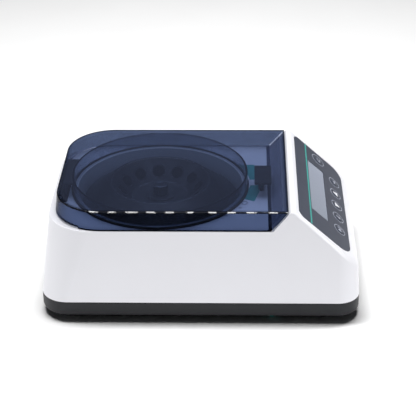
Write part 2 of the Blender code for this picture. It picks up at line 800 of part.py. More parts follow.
def housing_openings(frame):
    tools = [cylinder("chamber_opening", chamber_outer + gap, deck_underside - overrun,
                      deck_height + overrun, cutter=True, segments=round_segments)]
    plan = rounded_plan((-gap, -overlay_width / 2 - gap), (overlay_length + gap, overlay_width / 2 + gap),
                        overlay_top_corner + gap, overlay_foot_corner + gap)
    tools.append(prism("overlay_seat", plan, -overlay_thickness - gap, overrun, cutter=True, frame=frame))
    tools.append(box("display_opening",
                     (window_s - window_height / 2 - gap, -window_width / 2 - gap, -wall - overrun),
                     (window_s + window_height / 2 + gap, window_width / 2 + gap, overrun),
                     cutter=True, frame=frame))
    for number, (s, y) in enumerate(key_places(), 1):
        tools.append(cylinder(f"key_hole_{number}", key_radius + gap, -wall - overrun, overrun,
                              cutter=True, frame=frame, centre=(s, y), segments=small_segments))
    axis_x, axis_z = hinge_axis()
    tools.append(box("hinge_opening", (axis_x - knuckle_radius - gap, -hinge_half_width - gap,
                                       deck_underside - overrun),
                     (axis_x + hinge_block_front + gap, hinge_half_width + gap, deck_height + overrun),
                     cutter=True))
    tools.append(box("latch_slot", (hook_x - slot_clearance, -hook_width / 2 - slot_clearance,
                                    deck_underside - overrun),
                     (hook_x + hook_thickness + slot_clearance, hook_width / 2 + slot_clearance,
                      deck_height + overrun), cutter=True, edge=slot_clearance, edge_axis=2))
    tools.append(cylinder("jack_hole", jack_radius + gap, -wall - overrun, overrun, cutter=True,
                          frame=rear_frame(jack_y)))
    tools.append(cylinder("jack_recess", jack_flange_radius + gap, 0, rear_recess + overrun, cutter=True,
                          frame=rear_frame(jack_y), segments=shaft_segments))
    tools.append(box("switch_recess", (-switch_width / 2 - gap, -switch_height / 2 - gap, 0),
                     (switch_width / 2 + gap, switch_height / 2 + gap, rear_recess + overrun), cutter=True,
                     frame=rear_frame(switch_y)))
    tools.append(box("switch_hole", (-switch_width / 2 + switch_lip - gap,
                                     -switch_height / 2 + switch_lip - gap, -wall - overrun),
                     (switch_width / 2 - switch_lip + gap, switch_height / 2 - switch_lip + gap, overrun),
                     cutter=True, frame=rear_frame(switch_y)))
    return tools


def make_base_tray():
    # Rings of inset and height, from the outer foot over the lip and down to the floor inside.
    lip_outside = wall + gap + wall_lean(tray_lip_height)
    lip_inside = lip_outside + tray_lip_wall
    rings = [(tray_foot_inset, foot_height), (tray_chamfer, foot_height + tray_chamfer),
             (0.0, foot_height + tray_side_rise), (0.0, tray_top), (lip_outside, tray_top),
             (lip_outside, split_height + tray_lip_height), (lip_inside, split_height + tray_lip_height),
             (lip_inside, tray_floor_top)]
    shape = bmesh.new()
    loops = []
    for inset, height in rings:
        half = [outer_shell.point(index, split_height, inset) for index in range(outer_shell.count())]
        full = half + [(x, -y) for x, y in reversed(half)]
        loops.append([shape.verts.new((x, y, height)) for x, y in full])
    for low, high in zip(loops, loops[1:]):
        for index in range(len(low)):
            follow = (index + 1) % len(low)
            shape.faces.new((low[index], low[follow], high[follow], high[index]))
    shape.faces.new(loops[0])
    shape.faces.new(loops[-1])
    bmesh.ops.recalc_face_normals(shape, faces=shape.faces)
    item = from_bmesh("base_tray", shape, dark_plastic)
    for number, (x, y) in enumerate(damper_places(), 1):
        join(item, cylinder(f"motor_post_{number}", damper_radius + post_taper,
                            foot_height + tray_floor / 2, damper_bottom - gap, cutter=True, centre=(x, y),
                            top_radius=damper_radius))
    for number, (x, y) in enumerate(power_post_places(), 1):
        join(item, cylinder(f"board_post_{number}", power_post_radius, foot_height + tray_floor / 2,
                            tray_floor_top + power_board_rise - gap, cutter=True, centre=(x, y),
                            segments=post_segments))
    for number, (x, y) in enumerate(screw_places(), 1):
        cut(item, cylinder(f"tray_hole_{number}", screw_radius + gap, foot_height - overrun,
                           tray_floor_top + overrun, cutter=True, centre=(x, y)))
        cut(item, cylinder(f"tray_sink_{number}", screw_head_radius + gap, foot_height - overrun,
                           foot_height + screw_sink, cutter=True, centre=(x, y)))
    for row in range(vent_rows):
        offset = vent_x + vent_pitch * (row - (vent_rows - 1) / 2)
        for side in (-1, 1):
            centre_y = side * (vent_length / 2 + boss_radius)
            cut(item, vent_cutter(f"vent_{row}_{'left' if side < 0 else 'right'}", offset, centre_y))
    cut(item, cylinder("plug_hole", plug_stem + gap, foot_height - overrun, tray_floor_top + overrun,
                       cutter=True, centre=(plug_x, -plug_y), segments=post_segments))
    return item


def vent_cutter(name, x, y):
    plan = rounded_plan((x - vent_width / 2, y - vent_length / 2), (x + vent_width / 2, y + vent_length / 2),
                        vent_end_radius, vent_end_radius, steps=3)
    return prism(name, plan, foot_height - overrun, tray_floor_top + overrun, cutter=True)


def make_feet():
    for number, (x, y) in enumerate(foot_places(), 1):
        top = foot_height - gap
        item = turned(f"rubber_foot_{number}",
                      [(0, top), (foot_radius, top), (foot_radius - foot_taper, foot_rim),
                       (foot_radius - foot_taper - foot_rim, 0), (0, 0)], black_rubber, segments=key_segments)
        item.location = (x, y, 0)


def make_case_screws():
    for number, (x, y) in enumerate(screw_places(), 1):
        head = foot_height + screw_sink - gap
        item = turned(f"case_screw_{number}",
                      [(0, head + screw_length), (screw_radius, head + screw_length - screw_radius),
                       (screw_radius, head), (screw_head_radius, head),
                       (screw_head_radius, head - screw_head_height), (0, head - screw_head_height)],
                      steel, segments=small_segments)
        item.location = (x, y, 0)
        cross = box(f"screw_cross_{number}",
                    (-screw_radius, -cross_width / 2, head - screw_head_height - overrun),
                    (screw_radius, cross_width / 2, head - screw_head_height / 2), cutter=True)
        cross.location = (x, y, 0)
        cut(item, cross)


def make_release_plug():
    top = foot_height - gap
    item = turned("release_plug",
                  [(0, tray_floor_top), (plug_stem, tray_floor_top - gap), (plug_stem, top),
                   (plug_radius, top), (plug_radius, top - plug_drop + foot_rim),
                   (plug_radius - foot_rim, top - plug_drop), (0, top - plug_drop)],
                  teal_plastic, segments=post_segments)
    item.location = (plug_x, -plug_y, 0)


def make_chamber():
    fillet = chamber_fillet
    foot_radius_inside = chamber_radius - chamber_taper
    inside = [(chamber_radius, lip_top)]
    for step in range(fillet_steps + 1):
        angle = math.pi / 2 * step / fillet_steps
        inside.append((foot_radius_inside - fillet + fillet * math.cos(angle),
                       chamber_floor + fillet - fillet * math.sin(angle)))
    rise_foot = chamber_bulge_radius + chamber_bulge_slope
    inside += [(rise_foot, chamber_floor), (chamber_bulge_radius, chamber_bulge_height),
               (chamber_hub_radius + chamber_wall, chamber_bulge_height),
               (chamber_hub_radius + chamber_wall, chamber_bulge_height + chamber_hub_rise),
               (chamber_hub_radius, chamber_bulge_height + chamber_hub_rise)]
    outside = [(lip_outer, lip_top), (lip_outer, lip_bottom), (chamber_outer, lip_bottom)]
    low_radius = foot_radius_inside + chamber_wall
    for step in range(fillet_steps + 1):
        angle = math.pi / 2 * step / fillet_steps
        reach = fillet + chamber_wall
        outside.append((low_radius - reach + reach * math.cos(angle),
                        chamber_floor - chamber_wall + reach - reach * math.sin(angle)))
    outside += [(rise_foot - chamber_wall / 2, chamber_floor - chamber_wall),
                (chamber_bulge_radius - chamber_wall / 2, chamber_bulge_height - chamber_wall),
                (chamber_hub_radius, chamber_bulge_height - chamber_wall)]
    turned("chamber_bowl", outside + inside[::-1], chamber_plastic, closed=True)
    seal_bottom = lip_bottom
    seal_top = seal_bottom + seal_height
    turned("chamber_seal",
           [(seal_inner, seal_top - gap), (seal_inner + gap, seal_top), (seal_outer - gap, seal_top),
            (seal_outer, seal_top - gap), (seal_outer, seal_bottom), (seal_inner, seal_bottom)],
           black_rubber, closed=True)
    seal_z = chamber_bulge_height - chamber_wall + gap
    turned("shaft_seal",
           [(shaft_radius + gap, seal_z + chamber_wall), (chamber_hub_radius - gap, seal_z + chamber_wall),
            (chamber_hub_radius - gap, seal_z), (shaft_radius + gap, seal_z)], black_rubber,
           closed=True, segments=shaft_segments)


def land_height(radius):
    return hole_ring_height + (radius - hole_ring_radius) * math.tan(hole_angle)


def rotor_profile():
    # Cross-section right of the axis: hub, bowl floor, land with the tube holes, ridge, outer slope, rim.
    land_foot = hole_ring_radius - (hole_ring_height - bowl_floor_height) / math.tan(hole_angle)
    ridge_r = hole_ring_radius + ridge_land * math.cos(hole_angle)
    ridge_z = land_height(ridge_r)
    slope = math.atan2(ridge_z - rotor_rim_height, rotor_radius - ridge_r - ridge_round)
    points = [(shaft_radius + gap, hub_top), (hub_radius - hub_edge, hub_top),
              (hub_radius, hub_top - hub_edge), (hub_radius, bowl_floor_height),
              (land_foot, bowl_floor_height), (ridge_r - ridge_round, land_height(ridge_r - ridge_round)),
              (ridge_r, ridge_z), (ridge_r + ridge_round, ridge_z),
              (ridge_r + 2 * ridge_round, ridge_z - ridge_fall)]
    points += [(rotor_radius - ridge_round, rotor_rim_height + ridge_round * math.tan(slope)),
               (rotor_radius, rotor_rim_height - ridge_round / 2),
               (rotor_radius, rotor_rim_height - rotor_rim_depth),
               (rotor_foot_outer, rotor_bottom), (rotor_foot_inner, rotor_bottom)]
    under = bowl_floor_height - bowl_floor_web
    hole_reach = hole_diameter * math.sqrt(0.5) + rotor_web * math.sqrt(2)
    wall_line = hole_ring_radius + hole_ring_height - hole_reach
    points += [(wall_line - under, under), (hub_foot_radius + rotor_web, under),
               (hub_foot_radius, hub_foot_height), (shaft_radius + gap, hub_foot_height)]
    return points


def make_rotor():
    item = turned("rotor", rotor_profile(), rotor_plastic, closed=True)
    radius = hole_diameter / 2
    mouth = ridge_land
    for number in range(hole_count):
        turn = math.pi / 2 + hole_phase + 2 * math.pi * number / hole_count
        outward = Vector((math.cos(turn), math.sin(turn), 0))
        axis = -outward * math.sin(hole_angle) + Vector((0, 0, math.cos(hole_angle)))
        side = Vector((0, 0, 1)).cross(outward)
        frame = Matrix((side.cross(axis), side, axis)).transposed().to_4x4()
        frame.translation = outward * hole_ring_radius + Vector((0, 0, hole_ring_height))
        tool = turned(f"tube_hole_{number + 1}",
                      [(0, mouth), (radius, mouth), (radius, -hole_straight), (hole_tip_radius, -hole_depth),
                       (0, -hole_depth)], cutter=True, frame=frame, segments=small_segments)
        cut(item, tool)
    return item


def make_shaft_and_knob():
    shaft_foot = plate_height + plate_thickness + motor_boss_rise - motor_shaft_seat
    turned("drive_shaft",
           [(0, hub_top + stud_height), (stud_radius, hub_top + stud_height - gap), (stud_radius, hub_top),
            (shaft_radius, hub_top), (shaft_radius, shaft_foot), (0, shaft_foot)], steel,
           segments=shaft_segments)
    top = knob_bottom + knob_height
    knob = turned("rotor_knob",
                  [(0, top), (knob_radius - knob_chamfer, top), (knob_radius, top - knob_chamfer),
                   (knob_radius, knob_bottom), (stud_radius + gap, knob_bottom),
                   (stud_radius + gap, hub_top + stud_height + gap), (0, hub_top + stud_height + gap)],
                  steel, segments=knob_segments)
    for number in range(knob_flutes):
        turn = 2 * math.pi * number / knob_flutes
        centre = (knob_radius * math.cos(turn), knob_radius * math.sin(turn))
        cut(knob, cylinder(f"knob_flute_{number + 1}", knob_flute_radius, knob_bottom + knob_chamfer,
                           top + overrun, cutter=True, centre=centre, segments=flute_segments))


def make_motor():
    top = plate_height - gap
    boss_top = plate_height + plate_thickness + motor_boss_rise
    motor_solid(top, boss_top)
    turned("motor_plate",
           [(motor_boss_radius + gap, plate_height + plate_thickness),
            (plate_radius, plate_height + plate_thickness), (plate_radius, plate_height),
            (motor_boss_radius + gap, plate_height)], steel, closed=True, segments=plate_segments)
    for number, (x, y) in enumerate(damper_places(), 1):
        item = turned(f"rubber_damper_{number}",
                      [(0, plate_height - gap), (damper_radius, plate_height - gap),
                       (damper_radius, plate_height - gap - damper_waist),
                       (damper_radius - damper_waist, plate_height - gap - damper_height / 2),
                       (damper_radius, damper_bottom + damper_waist), (damper_radius, damper_bottom),
                       (0, damper_bottom)], black_rubber, segments=small_segments)
        item.location = (x, y, 0)


def motor_solid(top, boss_top):
    seat = boss_top - motor_shaft_seat - gap
    return turned("motor_body",
                  [(0, seat), (shaft_radius + gap, seat), (shaft_radius + gap, boss_top),
                   (motor_boss_radius, boss_top), (motor_boss_radius, top), (motor_radius - motor_edge, top),
                   (motor_radius, top - motor_edge), (motor_radius, motor_bottom + motor_edge),
                   (motor_radius - motor_edge, motor_bottom), (0, motor_bottom)], steel,
                  segments=shaft_segments)


def hinge_axis():
    # The knuckles lie flush with the lid's rear wall.
    rear = wall_at(deck_height)[0]
    return rear + lid_rear_inset + knuckle_radius, deck_height + hinge_axis_rise


def lid_shell_shape(inset):
    rear, front, half = wall_at(lid_foot_height)
    half_top = wall_at(lid_top_height)[2]
    low_front = lid_front(lid_foot_height)
    return Shell(rear + lid_rear_inset + inset, low_front - inset * ramp_across,
                 half - lid_side_inset - inset,
                 (lid_corner - inset, lid_corner - inset), (lid_front_corner, lid_front_corner),
                 (lid_rear_draft, half - half_top, lid_front(lid_foot_height) - lid_front(lid_top_height)),
                 lid_foot_height, lid_top_height, [0.0])


def lid_front(height):
    # X of the lid's leaning front wall, parallel to the ramp.
    return ridge_rear - (ridge_height - height) * ramp_run - lid_front_gap


def make_lid():
    outer = lid_shell_shape(0.0)
    flat = [(-rotor_from_rear, lid_top_height), (front_from_rotor, lid_top_height)]
    item = shell_solid("lid_shell", outer, lid_foot_height, flat, lambda x: lid_edge, smoked_plastic,
                       fillet_steps=2)
    under = [(-rotor_from_rear, plate_underside), (front_from_rotor, plate_underside)]
    hollow = shell_solid("lid_hollow", lid_shell_shape(lid_wall), lid_foot_height - overrun, under,
                         lambda x: gap, cutter=True, fillet_steps=1)
    cut(item, hollow)
    axis_x, axis_z = hinge_axis()
    low = lid_foot_height - overrun
    notch_top = axis_z + knuckle_radius + gap * 2
    notch = box("hinge_notch", (-rotor_from_rear, -hinge_half_width - gap * 2, low),
                (axis_x + knuckle_radius + gap * 2, hinge_half_width + gap * 2, notch_top), cutter=True)
    relief = box("rear_relief", (-rotor_from_rear, -half_width, low),
                 (axis_x + lid_corner / 2, half_width, lid_foot_height + rear_relief), cutter=True)
    cut(item, notch, relief)
    origin_at_axis(item, axis_x, axis_z)
    make_collar()


def make_collar():
    # Hangs from the lid's plate over the chamber's seal, clear of the lid's walls.
    top = plate_underside - gap
    collar = cylinder("lid_collar", collar_outer, collar_bottom, top, smoked_plastic,
                      segments=round_segments)
    cut(collar, cylinder("collar_bore", collar_inner, collar_bottom - overrun, top + overrun, cutter=True,
                         segments=round_segments))
    side = wall_at(lid_top_height)[2] - lid_side_inset - lid_wall - gap
    for name, y0, y1 in (("collar_left_side", side, side + body_width),
                         ("collar_right_side", -side - body_width, -side)):
        cut(collar, box(name, (-rotor_from_rear, y0, collar_bottom - overrun),
                        (front_from_rotor, y1, top + overrun), cutter=True))
    axis_x, axis_z = hinge_axis()
    origin_at_axis(collar, axis_x, axis_z)


def origin_at_axis(item, x, z):
    origin_at(item, (x, 0, z))


def ear_spans():
    # The bracket's ears along Y, and between them the lid's two knuckles.
    outer = hinge_half_width
    return [(-outer, -outer + outer_ear), (-centre_ear / 2, centre_ear / 2), (outer - outer_ear, outer)]


def knuckle_spans():
    ears = ear_spans()
    return [(ears[0][1] + gap, ears[1][0] - gap), (ears[1][1] + gap, ears[2][0] - gap)]


def axis_cylinder(name, radius, span, material=None, cutter=False, segments=small_segments):
    # Round about the hinge axis, from span[0] to span[1] along Y.
    axis_x, axis_z = hinge_axis()
    across = Matrix.Rotation(-math.pi / 2, 4, "X")
    across.translation = (axis_x, 0, axis_z)
    return cylinder(name, radius, span[0], span[1], material, cutter, frame=across, segments=segments)


def make_hinge():
    axis_x, axis_z = hinge_axis()
    top = deck_height
    rear = axis_x - knuckle_radius
    front = axis_x + hinge_block_front
    bracket = box("hinge_bracket", (rear, -hinge_half_width, top - hinge_block_depth),
                  (front, hinge_half_width, top), black_plastic)
    ears = ear_spans()
    pocket_floor = top - hinge_block_depth + hinge_pocket_floor
    for number, (low, high) in enumerate(knuckle_spans(), 1):
        cut(bracket, box(f"hinge_pocket_{number}", (rear + hinge_pocket_wall, low - gap, pocket_floor),
                         (front - hinge_pocket_wall, high + gap, top + overrun), cutter=True))
    for number, (low, high) in enumerate(ears, 1):
        join(bracket, box(f"ear_stem_{number}", (axis_x - knuckle_radius, low, top - hinge_pocket_floor),
                          (axis_x + knuckle_radius, high, axis_z), cutter=True))
        join(bracket, axis_cylinder(f"ear_{number}", knuckle_radius, (low, high), cutter=True))
    cut(bracket, axis_cylinder("bracket_bore", pin_radius + gap,
                               (-hinge_half_width - overrun, hinge_half_width + overrun), cutter=True))
    axis_cylinder("hinge_pin", pin_radius, (-hinge_half_width + gap, hinge_half_width - gap), steel)
    make_leaf(axis_x, axis_z)


def make_leaf(axis_x, axis_z):
    spans = knuckle_spans()
    rear_face = lid_inner_rear(plate_underside) + gap
    front_face = rear_face + leaf_thickness
    low = axis_z - leaf_web / 2
    leaf = box("hinge_leaf", (rear_face, spans[0][0], low), (front_face, spans[1][1], plate_underside - gap),
               black_plastic)
    for number, (start, end) in enumerate(spans, 1):
        join(leaf, box(f"leaf_web_{number}", (axis_x, start, low),
                       (rear_face + leaf_thickness / 2, end, low + leaf_web), cutter=True))
        join(leaf, axis_cylinder(f"leaf_knuckle_{number}", knuckle_radius, (start, end), cutter=True))
    join(leaf, leaf_flange(rear_face, spans[1][1]))
    ear = ear_spans()[1]
    cut(leaf, box("leaf_notch", (axis_x - knuckle_radius * 2, ear[0] - gap, low - overrun),
                  (front_face + overrun, ear[1] + gap, axis_z + knuckle_radius + gap * 2), cutter=True))
    cut(leaf, axis_cylinder("leaf_bore", pin_radius + gap,
                            (-hinge_half_width, hinge_half_width), cutter=True))
    origin_at_axis(leaf, axis_x, axis_z)


def leaf_flange(rear_face, reach):
    # Lies under the lid's plate, between its rear wall and the collar.
    clear = collar_outer + gap
    front_face = -math.sqrt(clear ** 2 - reach ** 2) - bite
    top = plate_underside - gap
    flange = box("leaf_flange", (rear_face, -reach, top - leaf_flange_thickness), (front_face, reach, top),
                 cutter=True)
    cut(flange, cylinder("collar_clearance", clear, top - leaf_flange_thickness - overrun, top + overrun,
                         cutter=True, segments=round_segments))
    return flange


def lid_inner_rear(height):
    lean = (height - lid_foot_height) / (lid_top_height - lid_foot_height)
    return wall_at(lid_foot_height)[0] + lid_rear_inset + lid_rear_draft * lean + lid_wall


def make_latch():
    axis_x, axis_z = hinge_axis()
    top = plate_underside - gap
    flange_rear = hook_x - hook_flange_rear
    flange_middle = -hook_flange_shift
    hook = box("latch_hook", (hook_x, -hook_width / 2, hook_bottom),
               (hook_x + hook_thickness, hook_width / 2, top),
               black_plastic)
    join(hook, box("hook_flange",
                   (flange_rear, flange_middle - hook_flange_width / 2, top - hook_flange_thickness),
                   (flange_rear + hook_flange_length, flange_middle + hook_flange_width / 2, top),
                   cutter=True))
    window_low = hook_bottom + hook_window_foot
    cut(hook, box("hook_window", (hook_x - overrun, -hook_window_width / 2, window_low),
                  (hook_x + hook_thickness + overrun, hook_window_width / 2, window_low + hook_window_height),
                  cutter=True))
    origin_at_axis(hook, axis_x, axis_z)
    middle = window_low + hook_window_height / 2
    tip = hook_x + hook_thickness + gap
    bolt = box("lock_bolt", (tip, -bolt_width / 2, middle - bolt_height / 2),
               (tip + bolt_length, bolt_width / 2, middle + bolt_height / 2), steel)
    cut(bolt, bolt_bevel(tip, middle))
    origin_at(bolt, (tip, 0, middle))
    top = deck_underside - gap
    housing = box("lock_housing", (lock_x, -lock_width / 2, top - lock_depth),
                  (lock_x + lock_length, lock_width / 2, top), dark_plastic, edge=small_edge, edge_axis=2)
    cut(housing, box("bolt_bore", (lock_x - overrun, -bolt_width / 2 - gap, middle - bolt_height / 2 - gap),
                     (lock_x + lock_length + overrun, bolt_width / 2 + gap, middle + bolt_height / 2 + gap),
                     cutter=True))


def bolt_bevel(tip, middle):
    # The bolt's tip is bevelled on top, so that a closing hook pushes it back.
    reach = bolt_tip * math.sqrt(0.5)
    return box("bolt_bevel", (-bolt_height, -bolt_width, -reach), (bolt_height, bolt_width, bolt_height),
               cutter=True, frame=Matrix.Translation((tip, 0, middle + bolt_height / 2))
               @ Matrix.Rotation(math.radians(-45), 4, "Y"))


def make_keypad():
    frame = slope_frame()
    plan = rounded_plan((0, -overlay_width / 2), (overlay_length, overlay_width / 2),
                        overlay_top_corner, overlay_foot_corner)
    overlay = prism("control_overlay", plan, -overlay_thickness, 0, overlay_film, frame=frame)
    cut(overlay, box("overlay_window",
                     (window_s - window_height / 2, -window_width / 2, -overlay_thickness - overrun),
                     (window_s + window_height / 2, window_width / 2, overrun), cutter=True, frame=frame,
                     edge=window_corner, edge_axis=2))
    for number, (s, y) in enumerate(key_places(), 1):
        cut(overlay, cylinder(f"overlay_hole_{number}", key_radius + gap,
                              -overlay_thickness - overrun, overrun,
                              cutter=True, frame=frame, centre=(s, y)))
        turned(f"key_{number}",
               [(0, key_proud), (key_radius - key_edge, key_proud), (key_radius, key_proud - key_edge),
                (key_radius, key_proud - key_length), (0, key_proud - key_length)],
               key_film, frame=frame @ Matrix.Translation((s, y, 0)), segments=key_segments)
    window_top = -window_sink
    box("display_window",
        (window_s - window_height / 2 + gap, -window_width / 2 + gap, window_top - window_thickness),
        (window_s + window_height / 2 - gap, window_width / 2 - gap, window_top), display_glass, frame=frame,
        edge=window_corner, edge_axis=2)
    module_top = window_top - window_thickness - gap
    box("display_module",
        (window_s - window_height / 2 + gap, -window_width / 2 + gap, module_top - module_depth),
        (window_s + window_height / 2 - gap, window_width / 2 - gap, module_top), dark_plastic, frame=frame)
    board_high = board_top()
    board = box("control_board", (board_s - board_length / 2, -board_width / 2, board_high - board_thickness),
                (board_s + board_length / 2, board_width / 2, board_high), green_board, frame=frame)
    switch_top = key_proud - key_length - key_travel - gap
    for number, (s, y) in enumerate(key_places(), 1):
        join(board, box(f"tact_switch_{number}", (s - switch_size / 2, y - switch_size / 2,
                                                  board_high - board_thickness / 2),
                        (s + switch_size / 2, y + switch_size / 2, switch_top), cutter=True, frame=frame))


def make_rear_fittings():
    jack = turned("power_jack",
                  [(0, jack_flange - jack_bore_depth), (jack_pin_radius, jack_flange - jack_bore_depth),
                   (jack_bore_radius, jack_flange - jack_bore_depth), (jack_bore_radius, jack_flange),
                   (jack_flange_radius - key_edge, jack_flange),
                   (jack_flange_radius, jack_flange - key_edge), (jack_flange_radius, gap),
                   (jack_radius, gap), (jack_radius, -jack_depth), (0, -jack_depth)],
                  black_plastic, frame=rear_frame(jack_y), segments=shaft_segments)
    join(jack, cylinder("jack_pin", jack_pin_radius, -jack_bore_depth,
                        jack_flange - key_edge, cutter=True, frame=rear_frame(jack_y),
                        segments=post_segments))
    frame = rear_frame(switch_y)
    rim_x = switch_width / 2
    rim_y = switch_height / 2
    holder = box("switch_frame", (-rim_x, -rim_y, gap), (rim_x, rim_y, switch_flange), black_plastic,
                 frame=frame, edge=small_edge, edge_axis=2)
    join(holder, box("switch_body", (-rim_x + switch_lip, -rim_y + switch_lip, -switch_depth),
                     (rim_x - switch_lip, rim_y - switch_lip, switch_flange / 2), cutter=True, frame=frame))
    well_x = rim_x - switch_lip - switch_rim
    well_y = rim_y - switch_lip - switch_rim
    cut(holder, box("rocker_well", (-well_x, -well_y, -rocker_depth - rocker_wall),
                    (well_x, well_y, switch_flange + overrun), cutter=True, frame=frame))
    make_rocker(frame, well_x, well_y)


def make_rocker(frame, well_x, well_y):
    # The rocker turns about the switch's short axis, and rests with its off side pressed in.
    half = well_x - gap
    tilt = math.radians(rocker_angle / 2)
    reach = half * math.cos(tilt) - rocker_rise * math.sin(tilt)
    pivot = -rocker_depth / 2
    plan = [(-reach, pivot - rocker_rise), (reach, pivot - rocker_rise), (reach, rocker_rise),
            (0, rocker_valley), (-reach, rocker_rise)]
    stand = Matrix(((1, 0, 0, 0), (0, 0, -1, 0), (0, 1, 0, 0), (0, 0, 0, 1)))
    turn = Matrix.Rotation(tilt, 4, "Y")
    lift = Matrix.Translation((0, 0, pivot))
    prism("power_rocker", [(x, y - pivot) for x, y in plan], -well_y + gap, well_y - gap, black_plastic,
          frame=frame @ lift @ turn @ stand)


def make_power_board():
    low = tray_floor_top + power_board_rise
    reach_x = power_board_length / 2
    reach_y = power_board_width / 2
    board = box("power_board", (power_board_x - reach_x, -reach_y, low),
                (power_board_x + reach_x, reach_y, low + board_thickness), green_board)
    middle = low + board_thickness / 2
    for number, side in enumerate((-1, 1), 1):
        join(board, cylinder(f"capacitor_{number}", capacitor_radius, middle, middle + capacitor_height,
                             cutter=True, centre=(power_board_x, side * capacitor_y)))
    front = power_board_x + reach_x - connector_inset
    join(board, box("board_connector", (front - connector_size, -connector_size, middle),
                    (front, connector_size, middle + connector_size), cutter=True))


make_upper_housing()
make_base_tray()
make_feet()
make_case_screws()
make_release_plug()
make_chamber()
make_motor()
make_rotor()
make_shaft_and_knob()
make_lid()
make_hinge()
make_latch()
make_keypad()
make_rear_fittings()
make_power_board()
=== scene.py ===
# Mini centrifuge, dressed: the looks of every piece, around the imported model.
import math

import bmesh
import bpy
from mathutils import Matrix, Vector


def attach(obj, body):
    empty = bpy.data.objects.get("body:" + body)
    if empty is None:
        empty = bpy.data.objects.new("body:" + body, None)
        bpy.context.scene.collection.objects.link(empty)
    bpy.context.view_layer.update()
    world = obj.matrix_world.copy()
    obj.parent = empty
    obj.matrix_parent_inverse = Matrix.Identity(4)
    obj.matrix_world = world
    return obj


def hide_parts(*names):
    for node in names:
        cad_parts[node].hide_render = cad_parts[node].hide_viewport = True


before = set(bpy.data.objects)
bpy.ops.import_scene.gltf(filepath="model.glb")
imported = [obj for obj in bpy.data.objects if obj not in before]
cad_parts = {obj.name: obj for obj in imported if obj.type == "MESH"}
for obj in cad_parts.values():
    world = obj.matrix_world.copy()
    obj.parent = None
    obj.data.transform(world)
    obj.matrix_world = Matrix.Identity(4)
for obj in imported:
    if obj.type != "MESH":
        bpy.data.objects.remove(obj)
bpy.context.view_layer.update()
print("frame loaded:", len(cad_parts), "nodes")

milli = 0.001
studio = {"shellWhite": (0.78, 0.78, 0.82), "rotorX": -35.5, "skyFade": (0.1, 0.7, 0.01, 0.04),
          "lights": [("floorKey", (-0.03, 0.13, 1.2), (0.8, 0.14), 21, "INCLUDE"),
                     ("overhead", (0.0, 0.1, 1.3), (1.2, 0.9), 18, "EXCLUDE"),
                     ("front", (-0.1, -1.2, 0.8), (1.6, 0.14), 7.8, "EXCLUDE"),
                     ("right", (1.3, -0.3, 0.5), (0.5, 0.9), 6.8, "EXCLUDE"),
                     ("left", (-1.3, 0.1, 0.6), (0.5, 0.9), 5, "EXCLUDE"),
                     ("rear", (0.1, 0.8, 1.2), (1.2, 0.3), 5, "EXCLUDE")]}
# shapes are drawn in mm from the rotor axis
toRow = Matrix.Scale(milli, 4) @ Matrix.Translation((studio["rotorX"], 0, 0))


# Shader maths on sockets

class Wire:
    def __init__(self, look, socket):
        self.look, self.socket = look, socket

    def combine(self, operation, other, reflected=False):
        first, second = (other, self) if reflected else (self, other)
        return self.look.node("ShaderNodeMath", {"operation": operation}, {0: first, 1: second})

    def __add__(self, other):
        return self.combine("ADD", other)

    def __sub__(self, other):
        return self.combine("SUBTRACT", other)

    def __rsub__(self, other):
        return self.combine("SUBTRACT", other, True)

    def __mul__(self, other):
        return self.combine("MULTIPLY", other)

    def __truediv__(self, other):
        return self.combine("DIVIDE", other)

    def __pow__(self, other):
        return self.combine("POWER", other)

    __radd__ = __add__
    __rmul__ = __mul__


class Look:
    def __init__(self, name, colour, roughness, **fixed):
        self.material = bpy.data.materials.new(name)
        self.material.use_nodes = True
        self.tree = self.material.node_tree
        self.shader = self.tree.nodes["Principled BSDF"]
        self.output = self.tree.nodes["Material Output"]
        self.material.diffuse_color = (*colour, 1)
        self.fix("Base Color", (*colour, 1))
        self.fix("Roughness", roughness)
        for key, value in fixed.items():
            self.fix(key.replace("_", " "), value)

    def fix(self, name, value):
        self.shader.inputs[name].default_value = value

    def node(self, kind, settings=None, sockets=None, out=0):
        made = self.tree.nodes.new(kind)
        for key, value in (settings or {}).items():
            setattr(made, key, value)
        for key, value in (sockets or {}).items():
            if isinstance(value, Wire):
                self.tree.links.new(value.socket, made.inputs[key])
            else:
                made.inputs[key].default_value = value
        return Wire(self, made.outputs[out])

    def drive(self, name, wire):
        self.tree.links.new(wire.socket, self.shader.inputs[name])

    def places(self):
        return self.node("ShaderNodeTexCoord", out=3)

    def noise(self, size, detail=2.0, roughness=0.5):
        # size is the width of one blotch, in metres
        return self.node("ShaderNodeTexNoise", None, {"Vector": self.places(), "Scale": 1 / size,
                                                       "Detail": detail, "Roughness": roughness})

    def spread(self, wire, low, high, lowest=0.0, highest=1.0):
        return self.node("ShaderNodeMapRange", None, {0: wire, 1: low, 2: high, 3: lowest, 4: highest})

    def blend(self, mask, first, second):
        return self.node("ShaderNodeMix", {"data_type": "RGBA"},
                         {0: mask, 6: (*first, 1) if isinstance(first, tuple) else first,
                          7: (*second, 1) if isinstance(second, tuple) else second}, out=2)

    def bump(self, height, strength, distance):
        self.drive("Normal", self.node("ShaderNodeBump", None,
                                       {"Strength": strength, "Distance": distance, "Height": height}))


def mouldedLook(name, colour, roughness, grain, depth, shift=0.06, **fixed):
    # moulded plastic or rubber: spark-eroded grain, slightly blotchy gloss, a faint drift in the colour
    look = Look(name, colour, roughness, **fixed)
    grainNoise = look.noise(grain, 3.0, 0.6)
    driftAndShade = look.spread(look.noise(0.05, 2.0), 0.3, 0.7)
    darker = tuple(part * (1 - shift) for part in colour)
    look.drive("Base Color", look.blend(driftAndShade, darker, colour))
    look.drive("Roughness", look.spread(look.noise(0.018, 4.0) * 0.6 + grainNoise * 0.4, 0.2, 0.8,
                                        roughness - 0.05, roughness + 0.06))
    look.bump(grainNoise, 0.35, depth)
    return look


